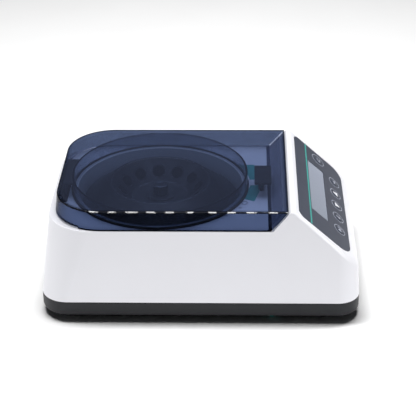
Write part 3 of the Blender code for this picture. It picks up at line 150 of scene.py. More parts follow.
def metalLook(name, colour, roughness, stretch, **fixed):
    # machined metal: fine lines along one axis, and light smudges
    look = Look(name, colour, roughness, Metallic=1.0, **fixed)
    turned = look.node("ShaderNodeMapping", {"vector_type": "TEXTURE"}, {0: look.places(), 3: stretch})
    lines = look.node("ShaderNodeTexNoise", None, {"Vector": turned, "Scale": 2200, "Detail": 3.0})
    smudge = look.noise(0.006, 3.0)
    look.drive("Roughness", look.spread(lines * 0.7 + smudge * 0.3, 0.25, 0.75, roughness - 0.08, roughness + 0.1))
    look.drive("Base Color", look.blend(look.spread(smudge, 0.3, 0.7), tuple(0.9 * part for part in colour), colour))
    look.bump(lines, 0.15, 0.00003)
    return look


def smokedLook(name, tint):
    # clear smoked plastic: a tinted see-through skin, denser where the mesh says so and where it is seen edge on
    smoke = {"dark": (0.004, 0.005, 0.010), "haze": (0.11, 0.13, 0.20), "ior": 1.5, "edge": 0.32}
    look = Look(name, smoke["dark"], 0.06, IOR=smoke["ior"], Specular_IOR_Level=0.3)
    scratches = look.noise(0.0035, 5.0, 0.65)
    look.drive("Roughness", look.spread(scratches, 0.35, 0.75, 0.03, 0.09))
    clear = look.node("ShaderNodeBsdfTransparent", None, {0: (*tint, 1)})
    facing = look.node("ShaderNodeLayerWeight", None, {0: smoke["edge"]}, out=1)
    density = look.node("ShaderNodeAttribute", {"attribute_name": "film"}, out=2)
    look.drive("Base Color", look.blend(look.spread(density, 0.12, 0.3), smoke["haze"], smoke["dark"]))
    mask = (facing ** 2.2 * 0.9).combine("MAXIMUM", density)
    mixed = look.node("ShaderNodeMixShader", None, {0: mask, 1: clear, 2: Wire(look, look.shader.outputs[0])})
    look.tree.links.new(mixed.socket, look.output.inputs[0])
    return look


def rimLook():
    # the lid's rounded edges: nearly black, with broken glints along the near one
    glints = {"pitch": 0.0162, "start": 0.0105, "long": (0.13, 0.24), "front": (0.070, 0.073)}
    look = Look("smokedRim", (0.003, 0.004, 0.008), 0.2, Specular_IOR_Level=0.06, Coat_IOR=3.2, Coat_Roughness=0.08)
    along = look.node("ShaderNodeSeparateXYZ", None, {0: look.places()})
    across = look.node("ShaderNodeSeparateXYZ", None, {0: look.places()}, out=1)
    ragged = (look.noise(0.004, 3.0) - 0.5) * 0.9
    wave = ((along - glints["start"]) / glints["pitch"]).combine("PINGPONG", 0.5) + ragged
    near = look.spread(across * -1.0, *glints["front"])
    look.drive("Coat Weight", look.spread(wave, *glints["long"], 1.0, 0.0) * near)
    look.drive("Roughness", look.spread(look.noise(0.003, 3.0), 0.3, 0.7, 0.18, 0.30))
    return look


def displayLook():
    # reflective display behind its window: pale, with painted shade that makes it a little darker towards the near end,
    # and a faint cell grid
    look = Look("displayGlass", (0.34, 0.37, 0.44), 0.12, IOR=1.5)
    split = look.node("ShaderNodeSeparateXYZ", None, {0: look.places()}, out=1)
    # painted shade: the colour ramps darker towards the display's near end
    driftAndShade = look.spread(split, -0.044, 0.044)
    cells = look.node("ShaderNodeTexBrick", {"offset": 0.0},
                      {"Vector": look.places(), "Color1": (1, 1, 1, 1), "Color2": (1, 1, 1, 1),
                       "Mortar": (0.9, 0.9, 0.9, 1), "Scale": 260.0, "Mortar Size": 0.01})
    shade = look.blend(driftAndShade, (0.28, 0.31, 0.37), (0.34, 0.37, 0.45))
    look.drive("Base Color", look.node("ShaderNodeMix", {"data_type": "RGBA", "blend_type": "MULTIPLY"},
                                       {0: 1.0, 6: shade, 7: cells}, out=2))
    look.drive("Roughness", look.spread(look.noise(0.004, 3.0), 0.3, 0.7, 0.10, 0.17))
    return look


def boardLook():
    # solder-masked circuit board: copper tracks under the mask, and bare pads
    look = Look("circuitBoard", (0.02, 0.16, 0.07), 0.4)
    tracks = look.node("ShaderNodeTexVoronoi", {"distance": "CHEBYCHEV", "feature": "F1"},
                       {"Vector": look.places(), "Scale": 260.0})
    lines = look.spread(tracks, 0.42, 0.5)
    pads = look.spread(tracks, 0.1, 0.06)
    colour = look.blend(lines, (0.012, 0.12, 0.05), (0.03, 0.22, 0.09))
    look.drive("Base Color", look.blend(pads, colour, (0.72, 0.62, 0.36)))
    look.drive("Roughness", look.spread(pads, 0.0, 1.0, 0.42, 0.25))
    look.bump(lines, 0.3, 0.00005)
    return look


looks = {
    "shell": mouldedLook("whiteShell", studio["shellWhite"], 0.30, 0.0004, 0.00003, shift=0.012, IOR=1.5),
    "tray": mouldedLook("darkTray", (0.010, 0.011, 0.014), 0.5, 0.0005, 0.00008, Specular_IOR_Level=0.35),
    "chamber": mouldedLook("chamberGrey", (0.30, 0.32, 0.36), 0.38, 0.0006, 0.00003),
    # a lighter copy of the chamber grey, a painted highlight for the bowl's lip
    "chamberRim": mouldedLook("chamberRim", (0.62, 0.64, 0.68), 0.35, 0.0005, 0.00002),
    "rubber": mouldedLook("blackRubber", (0.010, 0.010, 0.011), 0.78, 0.0009, 0.0001),
    "black": mouldedLook("blackPlastic", (0.013, 0.013, 0.015), 0.42, 0.0005, 0.00006),
    "rotor": mouldedLook("rotorBlack", (0.014, 0.015, 0.019), 0.38, 0.0004, 0.00003, Specular_IOR_Level=0.4),
    "film": mouldedLook("overlayFilm", (0.048, 0.056, 0.082), 0.34, 0.00025, 0.00002, shift=0.1),
    "keyCap": mouldedLook("keyFilm", (0.053, 0.062, 0.090), 0.36, 0.00025, 0.00002, shift=0.1),
    "rocker": mouldedLook("rockerPlastic", (0.014, 0.014, 0.016), 0.22, 0.001, 0.00001),
    "teal": mouldedLook("tealPlastic", (0.035, 0.30, 0.27), 0.36, 0.0005, 0.00003),
    "print": mouldedLook("whitePrint", (0.72, 0.74, 0.78), 0.45, 0.0003, 0.00001, shift=0.03),
    "greyPrint": mouldedLook("greyPrint", (0.38, 0.40, 0.48), 0.45, 0.0003, 0.00001, shift=0.03),
    "darkPrint": mouldedLook("darkPrint", (0.16, 0.18, 0.22), 0.5, 0.0003, 0.00001, shift=0.03),
    "tealPrint": mouldedLook("tealPrint", (0.045, 0.34, 0.30), 0.45, 0.0003, 0.00001, shift=0.04),
    "steel": metalLook("steel", (0.56, 0.57, 0.60), 0.30, (1, 1, 0.05)),
    "anodised": metalLook("knobMetal", (0.07, 0.075, 0.085), 0.38, (1, 1, 0.04)),
    "smoke": smokedLook("smokedPlate", (0.405, 0.47, 0.615)),
    # the walls carry the smoked plastic's tint, darkened further as painted shade on the deck seen behind them and lit
    # through them
    "smokeWallPaintedShade": smokedLook("smokedWallPaintedShade", (0.205, 0.25, 0.36)),
    "smokeInside": smokedLook("smokedInside", (0.97, 0.97, 0.98)),
    # the ramp's tint is lighter than the plastic's own: painted light on the shaded housing ramp seen through it
    "smokeRampPaintedLight": smokedLook("smokedRampPaintedLight", (0.74, 0.74, 0.77)),
    "smokeRim": rimLook(),
    "smokeCollar": smokedLook("smokedCollar", (0.66, 0.69, 0.74)),
    "display": displayLook(),
    "board": boardLook(),
}
print("looks made:", len(looks))


# Meshes, all in millimetres from the rotor axis

def meshFrom(shape):
    mesh = bpy.data.meshes.new("draft")
    bmesh.ops.remove_doubles(shape, verts=shape.verts, dist=0.0005)
    bmesh.ops.recalc_face_normals(shape, faces=shape.faces)
    shape.to_mesh(mesh)
    shape.free()
    return mesh


def lathe(profile, segments, matrix=Matrix()):
    # closed outline of (radius, height) pairs, or an open one whose ends lie on the axis
    shape = bmesh.new()
    rings = []
    for radius, height in profile:
        if radius < 0.0005:
            rings.append([shape.verts.new(matrix @ Vector((0, 0, height)))] * segments)
            continue
        rings.append([shape.verts.new(matrix @ Vector((radius * math.cos(turn), radius * math.sin(turn), height)))
                      for turn in (2 * math.pi * i / segments for i in range(segments))])
    loop = list(zip(rings, rings[1:]))
    if profile[0][0] > 0.0005:
        loop.append((rings[-1], rings[0]))
    for upper, lower in loop:
        for i in range(segments):
            corners = []
            for vert in (upper[i], lower[i], lower[(i + 1) % segments], upper[(i + 1) % segments]):
                if vert not in corners:
                    corners.append(vert)
            if len(corners) > 2:
                shape.faces.new(corners)
    return meshFrom(shape)


def rounded(corners, closed=True, steps=6):
    # (x, y, radius) corners to a smooth outline
    points = []
    count = len(corners)
    for index, (x, y, radius) in enumerate(corners):
        here = Vector((x, y))
        before = Vector(corners[index - 1][:2]) - here
        after = Vector(corners[(index + 1) % count][:2]) - here
        ends = not closed and index in (0, count - 1)
        if radius <= 0 or ends:
            points.append((x, y))
            continue
        half = before.angle(after) / 2
        reach = min(radius / math.tan(half), before.length * 0.49, after.length * 0.49)
        start, end = here + before.normalized() * reach, here + after.normalized() * reach
        centre = here + (before.normalized() + after.normalized()).normalized() * (reach / math.cos(half))
        first = start - centre
        sweep = first.angle_signed(end - centre)
        for step in range(steps + 1):
            turn = Matrix.Rotation(-sweep * step / steps, 2)
            points.append(tuple(centre + turn @ first))
    return points


def prism(outline, low, high, matrix=Matrix()):
    shape = bmesh.new()
    lower = [shape.verts.new(matrix @ Vector((x, y, low))) for x, y in outline]
    upper = [shape.verts.new(matrix @ Vector((x, y, high))) for x, y in outline]
    shape.faces.new(lower[::-1])
    shape.faces.new(upper)
    for i in range(len(outline)):
        follow = (i + 1) % len(outline)
        shape.faces.new((lower[i], lower[follow], upper[follow], upper[i]))
    return meshFrom(shape)


def ringPlate(outer, inner, low, high, matrix=Matrix(), segments=48):
    return lathe([(outer, high), (outer, low), (inner, low), (inner, high)], segments, matrix)


def bar(low, high, matrix=Matrix(), edge=0.0, steps=3):
    shape = bmesh.new()
    bmesh.ops.create_cube(shape, size=1.0)
    size, centre = Vector(high) - Vector(low), (Vector(high) + Vector(low)) / 2
    bmesh.ops.transform(shape, matrix=Matrix.Translation(centre) @ Matrix.Diagonal((*size, 1)), verts=shape.verts)
    if edge:
        bmesh.ops.bevel(shape, geom=shape.edges[:], offset=edge, segments=steps, profile=0.5, affect="EDGES")
    bmesh.ops.transform(shape, matrix=matrix, verts=shape.verts)
    return meshFrom(shape)


def merged(meshes):
    shape = bmesh.new()
    for mesh in meshes:
        shape.from_mesh(mesh)
    joined = bpy.data.meshes.new("draft")
    shape.to_mesh(joined)
    shape.free()
    return joined


def resolved(mesh, steps):
    # applies (modifier kind, settings) steps to a mesh
    carrier = bpy.data.objects.new("carrier", mesh)
    bpy.context.scene.collection.objects.link(carrier)
    helpers = []
    for kind, settings in steps:
        modifier = carrier.modifiers.new(kind, kind)
        for key, value in settings.items():
            if isinstance(value, bpy.types.Mesh):
                value = bpy.data.objects.new("tool", value)
                bpy.context.scene.collection.objects.link(value)
                helpers.append(value)
            setattr(modifier, key, value)
    seen = carrier.evaluated_get(bpy.context.evaluated_depsgraph_get())
    result = bpy.data.meshes.new_from_object(seen)
    for item in [carrier] + helpers:
        bpy.data.objects.remove(item, do_unlink=True)
    return result


def carved(mesh, cutters=(), added=()):
    steps = [("BOOLEAN", {"operation": "UNION", "solver": "EXACT", "object": tool}) for tool in added]
    steps += [("BOOLEAN", {"operation": "DIFFERENCE", "solver": "EXACT", "object": tool}) for tool in cutters]
    return resolved(mesh, steps)


def softened(mesh, width, steps=2, angle=35):
    return resolved(mesh, [("BEVEL", {"width": width, "segments": steps, "limit_method": "ANGLE",
                                      "angle_limit": math.radians(angle), "harden_normals": False,
                                      "use_clamp_overlap": True, "miter_outer": "MITER_ARC"})])


def finished(name, mesh, lookName, body, stands=(), sharp=34, weighted=False):
    mesh.transform(toRow)
    mesh.name = name
    mesh.shade_smooth()
    mesh.set_sharp_from_angle(angle=math.radians(sharp))
    chosen = [face.material_index for face in mesh.polygons]
    mesh.materials.clear()
    for one in lookName.split():
        mesh.materials.append(looks[one].material)
    mesh.polygons.foreach_set("material_index", chosen)
    if weighted:
        mesh = resolved(mesh, [("WEIGHTED_NORMAL", {"keep_sharp": True, "weight": 100})])
    piece = bpy.data.objects.new(name, mesh)
    bpy.context.scene.collection.objects.link(piece)
    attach(piece, body)
    if stands:
        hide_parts(*stands)
    return piece


# Geometry node trees

class Growth:
    def __init__(self, name, inputs):
        self.tree = bpy.data.node_groups.new(name, "GeometryNodeTree")
        self.tree.interface.new_socket("Geometry", in_out="INPUT", socket_type="NodeSocketGeometry")
        for label, kind, value in inputs:
            made = self.tree.interface.new_socket(label, in_out="INPUT", socket_type="NodeSocket" + kind)
            if value is not None:
                made.default_value = value
        self.tree.interface.new_socket("Geometry", in_out="OUTPUT", socket_type="NodeSocketGeometry")
        self.source = self.tree.nodes.new("NodeGroupInput")

    def given(self, label):
        return self.source.outputs[label]

    def add(self, kind, settings=None, sockets=None):
        made = self.tree.nodes.new(kind)
        for key, value in (settings or {}).items():
            setattr(made, key, value)
        for key, value in (sockets or {}).items():
            for single in value if isinstance(value, list) else [value]:
                if isinstance(single, bpy.types.NodeSocket):
                    self.tree.links.new(single, made.inputs[key])
                else:
                    made.inputs[key].default_value = single
        return made

    def maths(self, operation, first, second=0.0):
        return self.add("ShaderNodeMath", {"operation": operation}, {0: first, 1: second}).outputs[0]

    def close(self, geometry):
        real = self.add("GeometryNodeRealizeInstances", None, {0: geometry})
        dressed = self.add("GeometryNodeSetMaterial", None, {0: real.outputs[0], "Material": self.given("Finish")})
        self.add("NodeGroupOutput", None, {0: dressed.outputs[0]})
        return self.tree


def grown(mesh, tree, values):
    # runs a tree on a mesh, with its inputs set by identifier, and gives the plain mesh
    carrier = bpy.data.objects.new("carrier", mesh)
    modifier = carrier.modifiers.new("Growth", "NODES")
    modifier.node_group = tree
    for item in tree.interface.items_tree:
        if item.item_type == "SOCKET" and item.in_out == "INPUT" and item.name in values:
            modifier[item.identifier] = values[item.name]
    bpy.context.scene.collection.objects.link(carrier)
    seen = carrier.evaluated_get(bpy.context.evaluated_depsgraph_get())
    result = bpy.data.meshes.new_from_object(seen)
    bpy.data.objects.remove(carrier, do_unlink=True)
    return result


def ringOfCuts():
    # cuts the incoming solid with tapered pins that stand in a ring, each leaning outwards from the axis
    grow = Growth("ringOfCuts", [("Count", "Int", 12), ("Ring radius", "Float", 32.4), ("Ring height", "Float", 80.3),
                                 ("Phase", "Float", 0.0), ("Lean", "Float", 0.0), ("Pin radius", "Float", 5.5),
                                 ("Tip radius", "Float", 5.5), ("Straight", "Float", 20.0), ("Taper", "Float", 17.0),
                                 ("Above", "Float", 12.0), ("Facets", "Int", 32), ("Finish", "Material", None)])
    points = grow.add("GeometryNodePoints", None, {"Count": grow.given("Count")})
    index = grow.add("GeometryNodeInputIndex").outputs[0]
    step = grow.maths("DIVIDE", math.tau, grow.given("Count"))
    turn = grow.maths("ADD", grow.maths("MULTIPLY", index, step), grow.given("Phase"))
    place = grow.add("ShaderNodeCombineXYZ", None,
                     {0: grow.maths("MULTIPLY", grow.maths("COSINE", turn), grow.given("Ring radius")),
                      1: grow.maths("MULTIPLY", grow.maths("SINE", turn), grow.given("Ring radius")),
                      2: grow.given("Ring height")})
    placed = grow.add("GeometryNodeSetPosition", None, {0: points.outputs[0], "Position": place.outputs[0]})
    length = grow.maths("ADD", grow.given("Straight"), grow.given("Above"))
    shank = grow.add("GeometryNodeMeshCylinder", None,
                     {"Vertices": grow.given("Facets"), "Radius": grow.given("Pin radius"), "Depth": length})
    middle = grow.maths("DIVIDE", grow.maths("SUBTRACT", grow.given("Above"), grow.given("Straight")), 2.0)
    liftShank = grow.add("GeometryNodeTransform", None,
                         {0: shank.outputs[0],
                          "Translation": grow.add("ShaderNodeCombineXYZ", None, {2: middle}).outputs[0]})
    tip = grow.add("GeometryNodeMeshCone", None,
                   {"Vertices": grow.given("Facets"), "Radius Top": grow.given("Pin radius"),
                    "Radius Bottom": grow.given("Tip radius"), "Depth": grow.given("Taper")})
    drop = grow.maths("MULTIPLY", grow.maths("ADD", grow.given("Straight"), grow.given("Taper")), -1.0)
    liftTip = grow.add("GeometryNodeTransform", None,
                       {0: tip.outputs[0],
                        "Translation": grow.add("ShaderNodeCombineXYZ", None, {2: drop}).outputs[0]})
    pin = grow.add("GeometryNodeMeshBoolean", {"operation": "UNION", "solver": "EXACT"},
                   {1: [liftShank.outputs[0], liftTip.outputs[0]]})
    aim = grow.add("ShaderNodeCombineXYZ", None, {1: grow.maths("MULTIPLY", grow.given("Lean"), -1.0), 2: turn})
    stood = grow.add("GeometryNodeInstanceOnPoints", None,
                     {"Points": placed.outputs[0], "Instance": pin.outputs[0], "Rotation": aim.outputs[0]})
    pins = grow.add("GeometryNodeRealizeInstances", None, {0: stood.outputs[0]})
    cut = grow.add("GeometryNodeMeshBoolean", {"operation": "DIFFERENCE", "solver": "EXACT"},
                   {0: grow.given("Geometry"), 1: [pins.outputs[0]]})
    return grow.close(cut.outputs[0])


def slatRows():
    # cuts rounded slots through the incoming solid, in two rows side by side
    grow = Growth("slatRows", [("Count", "Int", 5), ("Pitch", "Float", 8.0), ("Middle", "Float", 10.0),
                               ("Offset", "Float", 17.5), ("Length", "Float", 26.0), ("Width", "Float", 3.0),
                               ("Height", "Float", 6.0), ("Depth", "Float", 12.0), ("Finish", "Material", None)])
    radius = grow.maths("DIVIDE", grow.given("Width"), 2.0)
    reach = grow.maths("SUBTRACT", grow.maths("DIVIDE", grow.given("Length"), 2.0), radius)
    ends = []
    for side in (1.0, -1.0):
        end = grow.add("GeometryNodeMeshCylinder", None,
                       {"Vertices": 24, "Radius": radius, "Depth": grow.given("Depth")})
        moved = grow.add("ShaderNodeCombineXYZ", None, {1: grow.maths("MULTIPLY", reach, side)})
        ends.append(grow.add("GeometryNodeTransform", None,
                             {0: end.outputs[0], "Translation": moved.outputs[0]}).outputs[0])
    both = grow.add("GeometryNodeJoinGeometry", None, {0: ends})
    slot = grow.add("GeometryNodeConvexHull", None, {0: both.outputs[0]})
    first = grow.maths("SUBTRACT", grow.given("Middle"),
                       grow.maths("MULTIPLY", grow.given("Pitch"),
                                  grow.maths("DIVIDE", grow.maths("SUBTRACT", grow.given("Count"), 1.0), 2.0)))
    rows = []
    for side in (1.0, -1.0):
        start = grow.add("ShaderNodeCombineXYZ", None, {0: first, 1: grow.maths("MULTIPLY", grow.given("Offset"), side),
                                                        2: grow.given("Height")})
        along = grow.add("ShaderNodeCombineXYZ", None, {0: grow.given("Pitch")})
        line = grow.add("GeometryNodeMeshLine", None, {"Count": grow.given("Count"), "Start Location": start.outputs[0],
                                                       "Offset": along.outputs[0]})
        rows.append(grow.add("GeometryNodeInstanceOnPoints", None,
                             {"Points": line.outputs[0], "Instance": slot.outputs[0]}).outputs[0])
    together = grow.add("GeometryNodeJoinGeometry", None, {0: rows})
    real = grow.add("GeometryNodeRealizeInstances", None, {0: together.outputs[0]})
    cut = grow.add("GeometryNodeMeshBoolean", {"operation": "DIFFERENCE", "solver": "EXACT"},
                   {0: grow.given("Geometry"), 1: [real.outputs[0]]})
    return grow.close(cut.outputs[0])


cutRing = ringOfCuts()
cutSlats = slatRows()


# Housing: a leaning loft whose corner radii change with height

housing = {"rear": -98.0, "front": 169.0, "half": 86.5, "split": 18.7, "deck": 82.5, "ridge": 99.6,
           "drafts": (8.9, 9.5, 5.0), "rearCorner": (23.0, 42.0), "frontCorner": (19.0, 15.0), "wall": 2.5,
           "deckEdge": 0.8, "slopeEdge": 3.0, "noseEdge": 5.0, "ridgeRear": 110.0,
           "ramp": math.radians(50.5), "ridgeFlat": 2.0, "ridgeRound": 4.0,
           "slope": math.radians(42.7), "arc": 22, "chamberHole": 73.1,
           "hingeHole": ((-86.08, -29.8), (-77.48, 29.8)), "latchHole": ((82.3, -9.2), (89.3, 9.2)), "gap": 0.3}
slopeFall, rampRise = math.tan(housing["slope"]), math.tan(housing["ramp"])


def between(low, high, part):
    return low + (high - low) * part


class Loft:
    def __init__(self, rear, front, half, rearCorner, frontCorner, drafts, low, high, stations, arc):
        self.rear, self.front, self.half = rear, front, half
        self.rearCorner, self.frontCorner = rearCorner, frontCorner
        self.drafts, self.low, self.high, self.stations, self.arc = drafts, low, high, stations, arc
        self.count = 2 * (arc + 1) + len(stations)

    def point(self, index, height, inset):
        lean = (height - self.low) / (self.high - self.low)
        rear = self.rear + self.drafts[0] * lean + inset
        front = self.front - self.drafts[2] * lean - inset
        half = self.half - self.drafts[1] * lean - inset
        if index <= self.arc:
            corner = between(*self.rearCorner, lean) - inset
            turn = math.pi * (1 - 0.5 * index / self.arc)
            return rear + corner + corner * math.cos(turn), half - corner + corner * math.sin(turn)
        index -= self.arc + 1
        if index < len(self.stations):
            return self.stations[index], half
        index -= len(self.stations)
        corner = max(between(*self.frontCorner, lean) - inset, 0.2)
        turn = math.pi * 0.5 * (1 - index / self.arc)
        return front - corner + corner * math.cos(turn), half - corner + corner * math.sin(turn)


def heightOn(profile, x):
    for (x0, z0), (x1, z1) in zip(profile, profile[1:]):
        if x <= x1:
            return between(z0, z1, (x - x0) / (x1 - x0)) if x > x0 else z0
    return profile[-1][1]


def topRing(loft, profile, radii, turn):
    found = []
    for index in range(loft.count):
        height = profile[0][1]
        inset, below = radii[index] * (1 - math.cos(turn)), radii[index] * (1 - math.sin(turn))
        for _ in range(10):
            x, y = loft.point(index, height, inset)
            height = heightOn(profile, x) - below
        found.append((x, y, height))
    return found


def loftSolid(loft, bottom, profile, radiusAt, steps, borders=()):
    # borders are the widths of bands round the top face
    rings = [[(*loft.point(index, bottom, 0.0), bottom) for index in range(loft.count)]]
    radii = [radiusAt(loft.point(index, loft.high, 0.0)[0]) for index in range(loft.count)]
    rings += [topRing(loft, profile, radii, math.pi / 2 * step / steps) for step in range(steps + 1)]
    rings += [topRing(loft, profile, [radius + border for radius in radii], math.pi / 2) for border in borders]
    shape = bmesh.new()
    left = [[shape.verts.new(point) for point in ring] for ring in rings]
    right = [[shape.verts.new((x, -y, z)) for x, y, z in ring] for ring in rings]
    for row in range(len(rings) - 1):
        for index in range(loft.count - 1):
            shape.faces.new((left[row][index], left[row + 1][index], left[row + 1][index + 1], left[row][index + 1]))
            shape.faces.new((right[row][index], right[row][index + 1],
                             right[row + 1][index + 1], right[row + 1][index]))
        shape.faces.new((right[row][0], right[row + 1][0], left[row + 1][0], left[row][0]))
        shape.faces.new((left[row][-1], left[row + 1][-1], right[row + 1][-1], right[row][-1]))
    for index in range(loft.count - 1):
        shape.faces.new((left[-1][index], right[-1][index], right[-1][index + 1], left[-1][index + 1]))
    shape.faces.new(left[0] + right[0][::-1])
    return meshFrom(shape)


def sideProfile(drop, steps=10):
    edgeX = housing["ridgeRear"] + housing["ridgeFlat"]
    points = [(housing["rear"], housing["deck"] - drop),
              (housing["ridgeRear"] - (housing["ridge"] - housing["deck"]) / rampRise, housing["deck"] - drop),
              (housing["ridgeRear"], housing["ridge"] - drop)]
    for step in range(steps + 1):
        turn = housing["slope"] * step / steps
        points.append((edgeX + housing["ridgeRound"] * math.sin(turn),
                       housing["ridge"] - drop - housing["ridgeRound"] * (1 - math.cos(turn))))
    lastX, lastZ = points[-1]
    points.append((housing["front"], lastZ - (housing["front"] - lastX) * slopeFall))
    return points


def housingLoft(inset):
    profile = sideProfile(0)
    stations = [0.0, profile[1][0] / 2] + [x for x, z in profile[1:-1]]
    stations.append(between(profile[-2][0], housing["front"] - housing["frontCorner"][0], 0.5))
    return Loft(housing["rear"] + inset, housing["front"] - inset, housing["half"] - inset,
                tuple(corner - inset for corner in housing["rearCorner"]),
                tuple(corner - inset for corner in housing["frontCorner"]),
                housing["drafts"], housing["split"], housing["ridge"], stations, housing["arc"])


def edgeRadius(x):
    if x < housing["ridgeRear"]:
        return housing["deckEdge"]
    pastRidge = min(1.0, (x - housing["ridgeRear"]) / housing["ridgeRound"])
    nearNose = max(0.0, 1 - (housing["front"] - housing["drafts"][2] - x) / housing["frontCorner"][0])
    return between(between(housing["deckEdge"], housing["slopeEdge"], pastRidge), housing["noseEdge"], nearNose)


def wallAt(height):
    lean = (height - housing["split"]) / (housing["ridge"] - housing["split"])
    rear, side, front = housing["drafts"]
    return housing["rear"] + rear * lean, housing["front"] - front * lean, housing["half"] - side * lean


panel = {"drop": 3.2, "length": 59.0, "width": 146.0, "topCorner": 6.0, "footCorner": 13.0, "thickness": 0.6,
         "windowS": 25.4, "windowHeight": 19.4, "windowWidth": 88.0, "keyRadius": 4.2, "keyProud": 0.25,
         "keyRow": 48.4, "keyPitch": 21.0, "sideKey": (29.5, 61.0), "keyRing": (6.3, 5.75),
         "sideRing": (7.4, 6.8), "stripeS": 14.0, "stripeWidth": 1.5,
         "printLift": 0.05, "signSize": 1.5, "arrowSize": 1.9}


def slopeMatrix():
    # local x runs down the slope from the overlay's top edge, local z points out of it
    x, z = sideProfile(0)[-2]
    height = housing["ridge"] - panel["drop"]
    along = Vector((math.cos(housing["slope"]), 0, -math.sin(housing["slope"])))
    out = along.cross(Vector((0, 1, 0)))
    matrix = Matrix((along, Vector((0, 1, 0)), out)).transposed().to_4x4()
    matrix.translation = (x + (z - height) / slopeFall, 0, height)
    return matrix


rear = {"height": 47.0, "recess": 1.4, "jackY": 30.0, "jackRadius": 5.6, "jackFlange": 7.5, "switchY": -30.0,
        "switchWidth": 21.0, "switchHeight": 15.0, "switchLip": 1.2}


def rearMatrix(y):
    # local z points out of the leaning rear wall from the floor of the fittings' recess, local y up it
    lean = math.atan2(housing["drafts"][0], housing["ridge"] - housing["split"])
    out = Vector((-math.cos(lean), 0, math.sin(lean)))
    up = Vector((math.sin(lean), 0, math.cos(lean)))
    matrix = Matrix((up.cross(out), up, out)).transposed().to_4x4()
    matrix.translation = Vector((wallAt(rear["height"])[0], y, rear["height"])) - out * rear["recess"]
    return matrix


def keyPlaces():
    row = [(panel["keyRow"], panel["keyPitch"] * (i - 2)) for i in range(5)]
    return row + [panel["sideKey"]]


def plate(s0, s1, width, corners, grow=0.0):
    # outline on the slope: s along, y across, with one radius at the top corners and one at the foot
    half = width / 2 + grow
    top, foot = corners[0] + grow, corners[1] + grow
    return rounded([(s0 - grow, -half, top), (s1 + grow, -half, foot), (s1 + grow, half, foot),
                    (s0 - grow, half, top)], steps=10)


def makeHousing():
    gap, wall = housing["gap"], housing["wall"]
    solid = loftSolid(housingLoft(0.0), housing["split"], sideProfile(0), edgeRadius, 8)
    slope = slopeMatrix()
    hollow = loftSolid(housingLoft(wall), housing["split"] - 2, sideProfile(wall / math.cos(housing["slope"])),
                       lambda x: gap, 1)
    tools = [hollow, lathe([(0, 86), (housing["chamberHole"], 86), (housing["chamberHole"], 76), (0, 76)], 128)]
    tools.append(prism(plate(0, panel["length"], panel["width"], (panel["topCorner"], panel["footCorner"]), gap),
                       -panel["thickness"] - gap, 3, slope))
    tools.append(bar((panel["windowS"] - panel["windowHeight"] / 2 - gap, -panel["windowWidth"] / 2 - gap, -6),
                     (panel["windowS"] + panel["windowHeight"] / 2 + gap, panel["windowWidth"] / 2 + gap, 3), slope))
    for s, y in keyPlaces():
        tools.append(lathe([(0, 3), (panel["keyRadius"] + gap, 3), (panel["keyRadius"] + gap, -6), (0, -6)], 32,
                           slope @ Matrix.Translation((s, y, 0))))
    for low, high in (housing["hingeHole"], housing["latchHole"]):
        tools.append(prism(rounded([(low[0], low[1], 1.2), (high[0], low[1], 1.2), (high[0], high[1], 1.2),
                                    (low[0], high[1], 1.2)], steps=4), 76, 86))
    hole = rear["jackRadius"] + gap
    seat = rear["jackFlange"] + gap
    tools.append(lathe([(0, 5), (seat, 5), (seat, 0), (hole, 0), (hole, -6), (0, -6)], 64, rearMatrix(rear["jackY"])))
    reachX = rear["switchWidth"] / 2 - rear["switchLip"] + gap
    reachY = rear["switchHeight"] / 2 - rear["switchLip"] + gap
    tools.append(bar((-reachX, -reachY, -6), (reachX, reachY, 3), rearMatrix(rear["switchY"])))
    reachX, reachY = rear["switchWidth"] / 2 + gap, rear["switchHeight"] / 2 + gap
    tools.append(bar((-reachX, -reachY, 0), (reachX, reachY, 5), rearMatrix(rear["switchY"])))
    finished("shellWhite", carved(solid, tools), "shell", "housing", ("upper_housing",), weighted=True)


tray = {"foot": 5.0, "footInset": 3.5, "chamfer": 1.2, "rise": 3.0, "top": 18.4, "lipHeight": 2.4, "lipWall": 1.5,
        "lipInset": 3.76, "floorTop": 8.0, "screws": ((-79, 50), (149, 50)), "screwHole": 1.8, "screwSink": 3.3,
        "sinkDepth": 2.0, "plug": (96.0, -77.0), "plugHole": 2.3, "posts": ((78.0, 41.0), (130.0, 41.0))}


